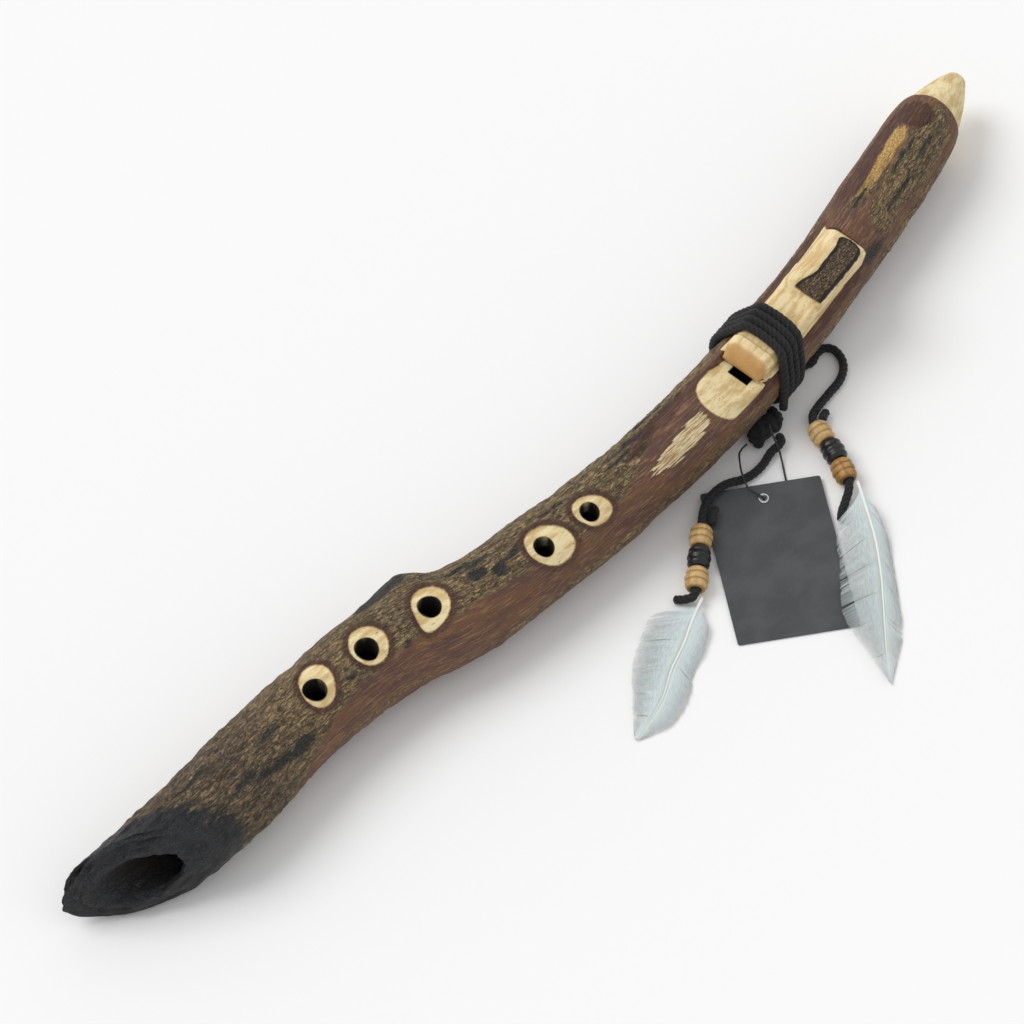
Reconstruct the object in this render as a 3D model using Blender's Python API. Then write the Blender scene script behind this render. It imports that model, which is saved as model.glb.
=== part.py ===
"""Forest flute: a branch split, hollowed and glued, with a tied-on block, beaded cord tails and a swing tag.

Metres, +Z up. +X runs along the flute's chord from the charred foot to the mouth. The flute lies on its lashing
at z = 0, with its finger holes up and its cord tails, feathers and tag laid out on its -Y side.
"""

import math

import bmesh
import bpy
import numpy as np
from mathutils import Matrix, Vector

# Clearances, and how far a cutter runs past what it cuts
GAP = 0.0003
FLOOR_GAP = 0.0003
CUT_PAST = 0.0100

# Branch: place along the chord, sideways place of the centre, outer radius
BRANCH = (
    (-0.3025, 0.0075, 0.0212),
    (-0.2550, 0.0075, 0.0212),
    (-0.2250, 0.0078, 0.0212),
    (-0.1950, 0.0096, 0.0209),
    (-0.1650, 0.0109, 0.0204),
    (-0.1350, 0.0101, 0.0208),
    (-0.1100, 0.0067, 0.0214),
    (-0.0850, -0.0012, 0.0212),
    (-0.0600, -0.0062, 0.0201),
    (-0.0300, -0.0096, 0.0194),
    (0.0000, -0.0120, 0.0190),
    (0.0300, -0.0132, 0.0184),
    (0.0650, -0.0132, 0.0182),
    (0.0950, -0.0117, 0.0181),
    (0.1300, -0.0080, 0.0178),
    (0.1600, -0.0038, 0.0176),
    (0.1900, 0.0017, 0.0176),
    (0.2200, 0.0081, 0.0177),
    (0.2500, 0.0150, 0.0176),
    (0.2650, 0.0184, 0.0170),
    (0.2760, 0.0209, 0.0149),
    (0.2880, 0.0237, 0.0110),
    (0.2960, 0.0257, 0.0076),
    (0.3015, 0.0270, 0.0048),
)
RING_SPACING = 0.0075
ARC_STEPS = 16
ROLL = math.radians(10)
SEAM_GAP = 0.0003

# Swelling where a side branch grew
KNOT_X = -0.0970
KNOT_ANGLE = math.radians(18)
KNOT_RISE = 0.0055
KNOT_LENGTH = 0.0110
KNOT_SPREAD = 0.45

# Hollow: sound chamber, plug, slow air chamber and mouth hole
BORE_RADIUS = 0.0100
PLUG_LENGTH = 0.0220
AIR_CHAMBER_RADIUS = 0.0100
MOUTH_WALL = 0.0355
MOUTH_HOLE_RADIUS = 0.0035
BORE_SIDES = 20

# Charred foot: a slanting broken cut
FOOT_CUT_POINT = (-0.2755, 0.0100, 0.0200)
FOOT_CUT_NORMAL = (-1.0, -1.44, 0.50)
FOOT_SLAB = (0.0550, 0.0400, 0.0800)
CHIP_DEPTH = 0.0022
CHIP_LENGTH = 0.0190

# Finger holes: place along the chord, diameter, turn towards -Y from the top, and the ring of bark peeled
# round each: its middle's step towards the mouth, half length and half width round the flute.
# The holes are drilled straight down and end just over the middle of the sound chamber.
FINGER_HOLES = (
    (-0.1598, 0.0102, math.radians(8), 0.0020, 0.0092, 0.0104),
    (-0.1292, 0.0102, math.radians(10.5), 0.0017, 0.0093, 0.0099),
    (-0.0948, 0.0102, math.radians(5), 0.0008, 0.0088, 0.0104),
    (-0.0366, 0.0088, math.radians(17), 0.0026, 0.0108, 0.0104),
    (-0.0091, 0.0084, math.radians(17), 0.0014, 0.0086, 0.0082),
)
PEELED_DEPTH = 0.0010
HOLE_END_RISE = 0.0010

# Nest, window, ramp and flue under the block
NEST_X = 0.0990
NEST_TURN = math.radians(6)
NEST_HEIGHT = 0.0130
NEST_LENGTH = 0.0860
WINDOW_LENGTH = 0.0068
WINDOW_WIDTH = 0.0101
WINDOW_OFFSET = -0.0015
RAMP_LENGTH = 0.0320
RAMP_WIDTH = 0.0240
RAMP_EDGE_DROP = 0.0006
RAMP_OVERRUN = 0.0014
FLUE_WIDTH = 0.0092
FLUE_DEPTH = 0.0010
AIR_EXIT_SETBACK = 0.0010
AIR_EXIT_LENGTH = 0.0060
AIR_EXIT_INSET = 0.0006

# Block: station from its front end, height over the nest, carving on its left and right shoulders
BLOCK = (
    (0.0000, 0.0052, 0.0030, 0.0030),
    (0.0014, 0.0086, 0.0030, 0.0030),
    (0.0036, 0.0100, 0.0028, 0.0026),
    (0.0074, 0.0098, 0.0028, 0.0026),
    (0.0086, 0.0062, 0.0030, 0.0030),
    (0.0300, 0.0060, 0.0030, 0.0030),
    (0.0390, 0.0064, 0.0026, 0.0022),
    (0.0430, 0.0074, 0.0022, 0.0016),
    (0.0470, 0.0130, 0.0030, 0.0013),
    (0.0550, 0.0140, 0.0070, 0.0013),
    (0.0650, 0.0144, 0.0086, 0.0013),
    (0.0750, 0.0138, 0.0060, 0.0013),
    (0.0805, 0.0122, 0.0032, 0.0018),
    (0.0840, 0.0070, 0.0026, 0.0024),
)
BLOCK_FRONT = -0.0008
BLOCK_WIDTH_FRONT = 0.0225
BLOCK_WIDTH_REAR = 0.0214
BLOCK_CROWN = 0.0004

# Lashing: one cord wound round the flute and the block's saddle
LASH_CORD = 0.0036
LASH_TURNS = 4
LASH_PITCH = 0.0043
LASH_START = 0.1058
LASH_LEAN = 0.0056
LASH_SLACK = 0.00025
LASH_START_ANGLE = 80
LASH_END_ANGLE = 155
LASH_RUNOFF = 0.0080
LASH_RUNOFF_ANGLE = 60
POINTS_PER_TURN = 24
SADDLE_HEIGHT = 0.0064
SADDLE_SHOULDER = 0.0030

# Knot that ties the lashing
TIE_CENTRE_X = 0.0970
TIE_HALF_LENGTH = 0.0122
TIE_HALF_WIDTH = 0.0056
TIE_HALF_HEIGHT = 0.0044
TIE_BULGE = 2.6

# Tails and what is threaded on them
TAIL_CORD = 0.0041
BEAD_LENGTH = 0.0109
BEAD_RADIUS = 0.0055
BEAD_BORE_RADIUS = 0.0027
BEAD_PITCH = 0.01145
BEAD_SIDES = 16
FOLD_LENGTH = 0.0120
FOLD_CLEARANCE = 0.0018

# Swing tag
TAG_WIDTH = 0.0555
TAG_LENGTH = 0.0820
TAG_THICKNESS = 0.0006
TAG_CORNER = 0.0010
TAG_TURN = math.radians(-37.2)
TAG_EYELET_PLACE = (0.0677, -0.0539)
TAG_EYELET_INSET = 0.0077
TAG_LIFT = 0.0016
EYELET_BORE_RADIUS = 0.0016
EYELET_RADIUS = 0.0026
EYELET_FLANGE = 0.0003
STRING = 0.0009

# Feathers
FEATHER_THICKNESS = 0.0005
QUILL_THICKNESS = 0.0016

# Feather spines from quill to tip, vane widths (share of the spine, -Y side, +Y side) and edge heights
LEFT_SPINE = (
    (0.0074, -0.0694, 0.0042),
    (-0.0035, -0.0735, 0.0036),
    (-0.0159, -0.0789, 0.0032),
    (-0.0294, -0.0836, 0.0030),
    (-0.0437, -0.0905, 0.0026),
    (-0.0564, -0.0938, 0.0019),
    (-0.0667, -0.0953, 0.0012),
)
LEFT_VANES = (
    (0.00, 0.0008, 0.0008),
    (0.08, 0.0038, 0.0036),
    (0.13, 0.0062, 0.0100),
    (0.18, 0.0078, 0.0168),
    (0.28, 0.0093, 0.0190),
    (0.46, 0.0096, 0.0183),
    (0.70, 0.0108, 0.0142),
    (0.85, 0.0085, 0.0092),
    (0.95, 0.0032, 0.0040),
    (1.00, 0.0008, 0.0008),
)
LEFT_EDGES = (0.0009, 0.0009)
RIGHT_SPINE = (
    (0.1008, -0.0810, 0.0064),
    (0.0975, -0.0860, 0.0066),
    (0.0927, -0.0929, 0.0064),
    (0.0828, -0.1064, 0.0058),
    (0.0700, -0.1205, 0.0050),
    (0.0564, -0.1335, 0.0040),
    (0.0447, -0.1444, 0.0028),
    (0.0300, -0.1592, 0.0012),
)
RIGHT_VANES = (
    (0.00, 0.0008, 0.0008),
    (0.07, 0.0024, 0.0060),
    (0.15, 0.0042, 0.0130),
    (0.25, 0.0058, 0.0170),
    (0.40, 0.0064, 0.0176),
    (0.60, 0.0074, 0.0186),
    (0.71, 0.0080, 0.0170),
    (0.79, 0.0076, 0.0124),
    (0.88, 0.0048, 0.0074),
    (0.95, 0.0022, 0.0034),
    (1.00, 0.0008, 0.0008),
)
RIGHT_EDGES = (0.0009, 0.0036)


def clear_scene():
    for obj in list(bpy.data.objects):
        bpy.data.objects.remove(obj, do_unlink=True)


def material(name, colour, roughness, metallic=0.0):
    mat = bpy.data.materials.new(name)
    mat.use_nodes = True
    shader = mat.node_tree.nodes["Principled BSDF"]
    shader.inputs["Base Color"].default_value = (*colour, 1.0)
    shader.inputs["Roughness"].default_value = roughness
    shader.inputs["Metallic"].default_value = metallic
    return mat


def add_object(name, data, mat):
    obj = bpy.data.objects.new(name, data)
    bpy.context.scene.collection.objects.link(obj)
    if mat is not None:
        data.materials.append(mat)
    return obj


def mesh_object(name, bm, mat, smooth_angle=35):
    """Puts a bmesh with outward faces into a named object, shaded smooth below the given angle."""
    bmesh.ops.recalc_face_normals(bm, faces=bm.faces)
    mesh = bpy.data.meshes.new(name)
    bm.to_mesh(mesh)
    bm.free()
    if smooth_angle:
        mesh.shade_smooth()
        mesh.set_sharp_from_angle(angle=math.radians(smooth_angle))
    return add_object(name, mesh, mat)


def add_loft(bm, rings, closed=False):
    """Joins rings of points, each a closed loop, into one closed body. Closed lofts join the last to the first."""
    loops = [[bm.verts.new(Vector(point)) for point in ring] for ring in rings]
    pairs = list(zip(loops, loops[1:]))
    if closed:
        pairs.append((loops[-1], loops[0]))
    for first, second in pairs:
        for i in range(len(first)):
            j = (i + 1) % len(first)
            bm.faces.new((first[i], first[j], second[j], second[i]))
    if not closed:
        bm.faces.new(loops[0])
        bm.faces.new(loops[-1])


def loft_object(name, rings, mat, closed=False):
    bm = bmesh.new()
    add_loft(bm, rings, closed)
    return mesh_object(name, bm, mat)


def cutter(name, bm):
    """A helper solid that Booleans take away. It isn't part of the flute."""
    obj = mesh_object(name, bm, None, smooth_angle=0)
    obj.hide_render = True
    obj.display_type = "WIRE"
    return obj


def cut(obj, *tools):
    for tool in tools:
        boolean = obj.modifiers.new(tool.name, "BOOLEAN")
        boolean.operation = "DIFFERENCE"
        boolean.solver = "EXACT"
        boolean.object = tool


def read_smooth(x, places, values):
    """Cubic curve through hand-chosen values, with each slope read from its two neighbours."""
    slopes = np.gradient(values, places)
    i = np.clip(np.searchsorted(places, x) - 1, 0, len(places) - 2)
    span = places[i + 1] - places[i]
    t = (x - places[i]) / span
    inside = (2 * t**3 - 3 * t**2 + 1) * values[i] + (3 * t**2 - 2 * t**3) * values[i + 1]
    return inside + span * ((t**3 - 2 * t**2 + t) * slopes[i] + (t**3 - t**2) * slopes[i + 1])


BRANCH_X, BRANCH_Y, BRANCH_R = np.array(BRANCH).T
AIR_CHAMBER_END = float(BRANCH_X[-1]) - MOUTH_WALL


def branch_radius(x):
    return float(read_smooth(x, BRANCH_X, BRANCH_R))


# Distance from the branch's centre to the middle of the lashing cord where it lies on bark
LASH_SEAT = GAP + LASH_SLACK + LASH_CORD / 2
LASH_FLAT = LASH_CORD / 10
AXIS_HEIGHT = branch_radius(LASH_START + LASH_TURNS * LASH_PITCH / 2) + LASH_SEAT + LASH_CORD / 2 - LASH_FLAT


def branch_centre(x):
    return Vector((x, float(read_smooth(x, BRANCH_X, BRANCH_Y)), AXIS_HEIGHT))


def rolled(along, roll):
    """Side and up directions across a level direction, rolled so that up leans towards -Y."""
    left = Vector((-along.y, along.x, 0))
    up = Vector((0, 0, 1)) * math.cos(roll) - left * math.sin(roll)
    return left * math.cos(roll) + Vector((0, 0, 1)) * math.sin(roll), up


def branch_frame(x, roll=ROLL):
    step = 0.002
    middle = min(max(x, BRANCH_X[0] + step), BRANCH_X[-1] - step)
    ahead = branch_centre(middle + step)
    behind = branch_centre(middle - step)
    along = (ahead - behind).normalized()
    side, up = rolled(along, roll)
    return branch_centre(x), along, side, up


def knot_swelling(x, angle):
    """Rise of the bark over the overgrown side branch: a smooth hump along and round the flute."""
    away = ((x - KNOT_X) / KNOT_LENGTH) ** 2 + ((angle - KNOT_ANGLE) / KNOT_SPREAD) ** 2
    return KNOT_RISE * math.exp(-away)


def branch_stations():
    count = round((BRANCH_X[-1] - BRANCH_X[0]) / RING_SPACING)
    return np.linspace(BRANCH_X[0], BRANCH_X[-1], count + 1)


def half_branch(name, above, mat):
    """One half of the split branch, a solid half log whose flat side is the glue line."""
    turn = math.pi if above else -math.pi
    lift = SEAM_GAP / 2 if above else -SEAM_GAP / 2
    rings = []
    for x in branch_stations():
        centre, _, side, up = branch_frame(x)
        ring = []
        for i in range(ARC_STEPS + 1):
            angle = turn * i / ARC_STEPS
            r = branch_radius(x) + knot_swelling(x, angle)
            ring.append(centre + side * r * math.cos(angle) + up * (r * math.sin(angle) + lift))
        rings.append(ring)
    return loft_object(name, rings, mat)


def add_bore(bm, start, end, radius):
    """A round hole that follows the branch's bend from start to end."""
    count = max(2, round((end - start) / 0.02) + 1)
    rings = []
    for x in np.linspace(start, end, count):
        centre, _, side, up = branch_frame(x)
        turns = [2 * math.pi * (i + 0.5) / BORE_SIDES for i in range(BORE_SIDES)]
        rings.append([centre + side * radius * math.cos(a) + up * radius * math.sin(a) for a in turns])
    add_loft(bm, rings)


def add_box(bm, frame, low, high):
    """A box between two corners given in a local frame."""
    size = Vector(high) - Vector(low)
    middle = (Vector(high) + Vector(low)) / 2
    made = bmesh.ops.create_cube(bm, size=1.0)
    bmesh.ops.scale(bm, vec=size, verts=made["verts"])
    bmesh.ops.translate(bm, vec=middle, verts=made["verts"])
    bmesh.ops.transform(bm, matrix=frame, verts=made["verts"])


def frame_matrix(origin, along, side, up):
    """Local x, y and z run along, to the left side and up."""
    return Matrix.Translation(origin) @ Matrix((along, side, up)).transposed().to_4x4()


def nest_frame():
    """Middle of the window's block end, on the flat that the block sits on."""
    along = Vector((math.cos(NEST_TURN), math.sin(NEST_TURN), 0))
    side, up = rolled(along, ROLL)
    return frame_matrix(branch_centre(NEST_X) + up * NEST_HEIGHT, along, side, up)


def bore_cutter():
    """Sound chamber from past the foot to the plug, and slow air chamber behind the plug."""
    bm = bmesh.new()
    add_bore(bm, BRANCH_X[0] - CUT_PAST, NEST_X, BORE_RADIUS)
    add_bore(bm, NEST_X + PLUG_LENGTH, AIR_CHAMBER_END, AIR_CHAMBER_RADIUS)
    return cutter("cut_bore", bm)


def mouth_cutter():
    bm = bmesh.new()
    add_bore(bm, AIR_CHAMBER_END - MOUTH_HOLE_RADIUS, BRANCH_X[-1] + CUT_PAST, MOUTH_HOLE_RADIUS)
    return cutter("cut_mouth_hole", bm)


def foot_cutter():
    """Everything past the broken end: a slab whose near face is the slanting, chipped break."""
    normal = Vector(FOOT_CUT_NORMAL).normalized()
    along = Vector((0, 0, 1)).cross(normal).normalized()
    across = normal.cross(along)
    reach_u, reach_v, depth = FOOT_SLAB
    steps_u = 14
    steps_v = 10
    bm = bmesh.new()
    near = []
    far = []
    for i in range(steps_u + 1):
        u = reach_u * (2 * i / steps_u - 1)
        near.append([])
        far.append([])
        for j in range(steps_v + 1):
            v = reach_v * (2 * j / steps_v - 1)
            ridge = abs(math.sin(math.pi * (u + 0.4 * v) / CHIP_LENGTH))
            splinter = math.sin(2.3 * math.pi * (v - 0.3 * u) / CHIP_LENGTH)
            chip = CHIP_DEPTH * (ridge - 0.45 * splinter)
            place = Vector(FOOT_CUT_POINT) + along * u + across * v
            near[i].append(bm.verts.new(place + normal * chip))
            far[i].append(bm.verts.new(place + normal * depth))
    for i in range(steps_u):
        for j in range(steps_v):
            bm.faces.new((near[i][j], near[i + 1][j], near[i + 1][j + 1], near[i][j + 1]))
            bm.faces.new((far[i][j], far[i][j + 1], far[i + 1][j + 1], far[i + 1][j]))
    for i in range(steps_u):
        for j in (0, steps_v):
            bm.faces.new((near[i][j], near[i + 1][j], far[i + 1][j], far[i][j]))
    for j in range(steps_v):
        for i in (0, steps_u):
            bm.faces.new((near[i][j], near[i][j + 1], far[i][j + 1], far[i][j]))
    return cutter("cut_foot", bm)


def finger_hole_cutters():
    """Holes straight down into the sound chamber, and the shallow rings where bark is peeled round them."""
    holes = bmesh.new()
    peeled = bmesh.new()
    for x, diameter, turn, step, half_length, half_width in FINGER_HOLES:
        centre, _, _, up = branch_frame(x, turn)
        place = centre + up * branch_radius(x)
        low = AXIS_HEIGHT + HOLE_END_RISE
        high = place.z + CUT_PAST
        middle = Matrix.Translation((place.x, place.y, (low + high) / 2))
        bmesh.ops.create_cone(
            holes, cap_ends=True, segments=20, radius1=diameter / 2, radius2=diameter / 2,
            depth=high - low, matrix=middle,
        )
        add_peeled_ring(peeled, x + step, turn, half_length, half_width)
    return cutter("cut_finger_holes", holes), cutter("cut_peeled_rings", peeled)


def add_peeled_ring(bm, x, turn, half_length, half_width):
    """An oval scoop whose floor follows the flute's roundness, one bark's thickness down."""
    profile = ((0.15, 1.0), (0.60, 1.0), (0.90, 0.8), (1.0, 0.0), (1.1, -1.5), (0.15, -3.0))
    rings = []
    for share, depth in profile:
        ring = []
        for i in range(24):
            around = 2 * math.pi * i / 24
            place = x + share * half_length * math.cos(around)
            radius = branch_radius(place)
            centre, _, side, up = branch_frame(place, turn)
            lean = share * half_width * math.sin(around) / radius
            out = up * math.cos(lean) + side * math.sin(lean)
            ring.append(centre + out * (radius - depth * PEELED_DEPTH))
        rings.append(ring)
    add_loft(bm, rings)


def nest_cutter():
    """Flat that the block sits on, from the window back to a short step behind the block."""
    bm = bmesh.new()
    half = BRANCH_R.max() + CUT_PAST
    add_box(bm, nest_frame(), (-WINDOW_LENGTH, -half, 0), (NEST_LENGTH, half, half))
    return cutter("cut_nest", bm)


def window_cutter():
    """Square window, shallow flue groove and the hole where air comes up out of the slow air chamber."""
    bm = bmesh.new()
    reach = NEST_HEIGHT
    side = WINDOW_WIDTH / 2
    left = WINDOW_OFFSET + side
    right = WINDOW_OFFSET - side
    add_box(bm, nest_frame(), (-WINDOW_LENGTH, right, -reach), (0, left, CUT_PAST))
    return cutter("cut_window", bm)


def flue_cutter():
    bm = bmesh.new()
    half = FLUE_WIDTH / 2
    end = PLUG_LENGTH + AIR_EXIT_SETBACK + AIR_EXIT_LENGTH
    frame = nest_frame()
    low = (-WINDOW_LENGTH / 2, WINDOW_OFFSET - half, -FLUE_DEPTH)
    add_box(bm, frame, low, (end, WINDOW_OFFSET + half, CUT_PAST))
    return cutter("cut_flue", bm)


def air_exit_cutter():
    bm = bmesh.new()
    half = FLUE_WIDTH / 2 - AIR_EXIT_INSET
    start = PLUG_LENGTH + AIR_EXIT_SETBACK
    frame = nest_frame()
    low = (start, WINDOW_OFFSET - half, -NEST_HEIGHT)
    high = (start + AIR_EXIT_LENGTH, WINDOW_OFFSET + half, CUT_PAST)
    add_box(bm, frame, low, high)
    return cutter("cut_air_exit", bm)


def ramp_cutter():
    """Round-ended scoop that slopes from the bark down to the window's splitting edge."""
    half = RAMP_WIDTH / 2
    rise = branch_radius(NEST_X - RAMP_LENGTH) - NEST_HEIGHT
    length = RAMP_LENGTH - WINDOW_LENGTH
    slope = (rise + RAMP_EDGE_DROP) / length
    outline = [(RAMP_OVERRUN, -half), (RAMP_OVERRUN, half)]
    straight = length - half
    for i in range(9):
        turn = math.pi * i / 8
        outline.append((-straight - half * math.sin(turn), half * math.cos(turn)))
    frame = nest_frame()
    bm = bmesh.new()
    low = []
    high = []
    for x, y in outline:
        floor = -RAMP_EDGE_DROP - slope * x
        start = Vector((x - WINDOW_LENGTH, y + WINDOW_OFFSET, floor))
        low.append(frame @ start)
        high.append(frame @ Vector((start.x, start.y, CUT_PAST)))
    add_loft(bm, [low, high])
    return cutter("cut_ramp", bm)


def block_width(x):
    return BLOCK_WIDTH_FRONT + (BLOCK_WIDTH_REAR - BLOCK_WIDTH_FRONT) * x / BLOCK[-1][0]


def block(mat):
    """Carved wooden block: low nose, saddle for the lashing, and a hump that keeps its bark on top."""
    origin = nest_frame() @ Matrix.Translation((BLOCK_FRONT, 0, GAP))
    rings = []
    for x, height, left, right in BLOCK:
        half = block_width(x) / 2
        end_rounding = 0.0012 if x in (BLOCK[0][0], BLOCK[-1][0]) else 0.0
        half -= end_rounding
        ring = (
            (x, half, 0),
            (x, half, max(0.45 * height, height - left)),
            (x, half - left, height),
            (x, (right - left) / 2, height + BLOCK_CROWN),
            (x, -half + right, height),
            (x, -half, height - right),
            (x, -half, 0),
        )
        rings.append([Vector(point) for point in ring])
    obj = loft_object("block", rings, mat)
    obj.matrix_world = origin
    return obj


def smooth_route(route, spacing):
    """Evenly spaced points on a smooth curve through the route's own points."""
    points = np.array(route, dtype=float)
    knots = np.concatenate([[0], np.cumsum(np.linalg.norm(np.diff(points, axis=0), axis=1))])
    fine = np.linspace(0, knots[-1], 800)
    curve = np.stack([read_smooth(fine, knots, points[:, k]) for k in range(3)], axis=1)
    run = np.concatenate([[0], np.cumsum(np.linalg.norm(np.diff(curve, axis=0), axis=1))])
    count = max(4, round(run[-1] / spacing) + 1)
    even = np.linspace(0, run[-1], count)
    return np.stack([np.interp(even, run, curve[:, k]) for k in range(3)], axis=1)


def cord_object(name, points, diameter, mat, resolution=2):
    curve = bpy.data.curves.new(name, "CURVE")
    curve.dimensions = "3D"
    curve.bevel_depth = diameter / 2
    curve.bevel_resolution = resolution
    curve.use_fill_caps = True
    spline = curve.splines.new("POLY")
    spline.points.add(len(points) - 1)
    for target, point in zip(spline.points, points):
        target.co = (*point, 1.0)
    return add_object(name, curve, mat)


def lashing_reach(turn):
    """Distance of the cord's middle from the branch's centre, in a direction turned from the nest's up.

    Over bark it is the radius plus the cord's seat. Over the block it follows the straight pull from the
    bark to the block's shoulder and the flat run across the saddle.
    """
    radius = branch_radius(LASH_START + LASH_TURNS * LASH_PITCH / 2)
    side = block_width(LASH_START - NEST_X) / 2 - SADDLE_SHOULDER / 2
    top = NEST_HEIGHT + GAP + SADDLE_HEIGHT
    shoulder = top - SADDLE_SHOULDER / 2
    pull = math.atan2(side, shoulder) + math.acos(radius / math.hypot(side, shoulder))
    away = abs((turn + math.pi) % (2 * math.pi) - math.pi)
    if away >= pull:
        return radius + LASH_SEAT
    across = (top + LASH_SEAT) / max(math.cos(away), 0.2)
    slanting = (radius + LASH_SEAT) / math.cos(pull - away)
    return min(across, slanting)


def tie_centre():
    """The knot lies on the table against the flute's -Y side, just in front of the lashing."""
    flank = branch_centre(TIE_CENTRE_X).y - branch_radius(TIE_CENTRE_X)
    return Vector((TIE_CENTRE_X, flank - 0.0002, TIE_HALF_HEIGHT + FLOOR_GAP))


def tie_top(x, y):
    """Height of the knot's upper side at a place."""
    centre = tie_centre()
    spread = abs((x - centre.x) / TIE_HALF_LENGTH) ** TIE_BULGE + abs((y - centre.y) / TIE_HALF_WIDTH) ** TIE_BULGE
    return centre.z + TIE_HALF_HEIGHT * max(0.0, 1 - spread) ** (1 / TIE_BULGE)


def lashing_points():
    """One unbroken path: up from the knot, round the flute and block, and off under the flute."""
    frame = nest_frame().to_3x3()
    along, side, up = frame.col[0], frame.col[1], frame.col[2]
    total = 360 * LASH_TURNS - (LASH_END_ANGLE - LASH_START_ANGLE)
    steps = round(total / 360 * POINTS_PER_TURN)
    points = []
    for i in range(steps + 1):
        wound = math.radians(total) * i / steps
        turn = math.radians(LASH_START_ANGLE) - wound
        lean = LASH_LEAN * max(0.0, math.cos(turn)) ** 2
        runoff = max(0.0, 1 - (total - math.degrees(wound)) / LASH_RUNOFF_ANGLE) ** 2
        x = LASH_START + LASH_PITCH * wound / (2 * math.pi) + lean + LASH_RUNOFF * runoff
        out = up * math.cos(turn) - side * math.sin(turn)
        points.append(branch_centre(x) + out * lashing_reach(turn))
    first = points[0]
    reach = LASH_CORD / 2
    foot = Vector((first.x, first.y, tie_top(first.x - reach, first.y + reach / 2) + GAP))
    square = foot + Vector((0, 0, LASH_CORD))
    last = points[-1]
    heading = last - points[-2]
    heading.z = 0
    leaving = last + heading.normalized() * LASH_CORD
    leaving.z = TAIL_CORD / 2 + FLOOR_GAP
    return [foot, square, (square + first) / 2, *points, leaving]


def least_gap(points, diameter):
    """Least gap between the winding's turns, measured between points that lie over half a turn apart."""
    places = np.array(points)
    apart = POINTS_PER_TURN // 2
    nearest = 1.0
    for i in range(len(places) - apart):
        away = np.linalg.norm(places[i + apart:] - places[i], axis=1)
        nearest = min(nearest, float(away.min()))
    return nearest - diameter


def lashing(mat):
    """The wound cord as a solid tube, pressed flat where the flute lies on it."""
    points = lashing_points()
    print("lashing: least gap between turns", round(least_gap(points, LASH_CORD) * 1000, 2), "mm")
    guide = cord_object("lashing_guide", points, LASH_CORD, None, resolution=1)
    graph = bpy.context.evaluated_depsgraph_get()
    mesh = bpy.data.meshes.new_from_object(guide.evaluated_get(graph))
    bpy.data.objects.remove(guide)
    mesh.name = "lashing"
    mesh.materials.clear()
    mesh.shade_smooth()
    obj = add_object("lashing", mesh, mat)
    bm = bmesh.new()
    reach = 0.05
    low = (LASH_START - reach, -reach, -reach)
    high = (LASH_START + reach, reach, 0)
    add_box(bm, Matrix.Identity(4), low, high)
    cut(obj, cutter("cut_floor", bm))
    return obj


def lashing_knot(mat):
    """Squashed knot: a rounded lump whose wraps show as slanting ridges."""
    centre = tie_centre()
    bm = bmesh.new()
    bmesh.ops.create_uvsphere(bm, u_segments=24, v_segments=14, radius=1.0)
    for vert in bm.verts:
        x, y, z = vert.co
        grow = (abs(x) ** TIE_BULGE + abs(y) ** TIE_BULGE + abs(z) ** TIE_BULGE) ** (-1 / TIE_BULGE)
        ridge = 0.95 + 0.05 * abs(math.cos(2.2 * math.pi * (x * 0.8 + z * 0.35)))
        size = Vector((TIE_HALF_LENGTH, TIE_HALF_WIDTH, TIE_HALF_HEIGHT))
        vert.co = centre + Vector((x * size.x, y * size.y, z * size.z)) * grow * ridge
    return mesh_object("lashing_knot", bm, mat)


TAIL_REST = TAIL_CORD / 2 + FLOOR_GAP
BEAD_REST = BEAD_RADIUS + FLOOR_GAP

# Middle bead of each tail, and the headings of the cord above and below it
MIDDLE_BEADS = {
    "left": (Vector((0.0216, -0.0552, BEAD_REST)), Vector((-0.80, -0.60, 0)), Vector((-0.81, -0.585, 0))),
    "right": (Vector((0.1066, -0.0623, BEAD_REST)), Vector((-0.34, -0.94, 0)), Vector((-0.46, -0.888, 0))),
}


def bead_centres(tail):
    middle, above, below = MIDDLE_BEADS[tail]
    first = middle - above.normalized() * BEAD_PITCH
    last = middle + below.normalized() * BEAD_PITCH
    return first, middle, last


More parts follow.
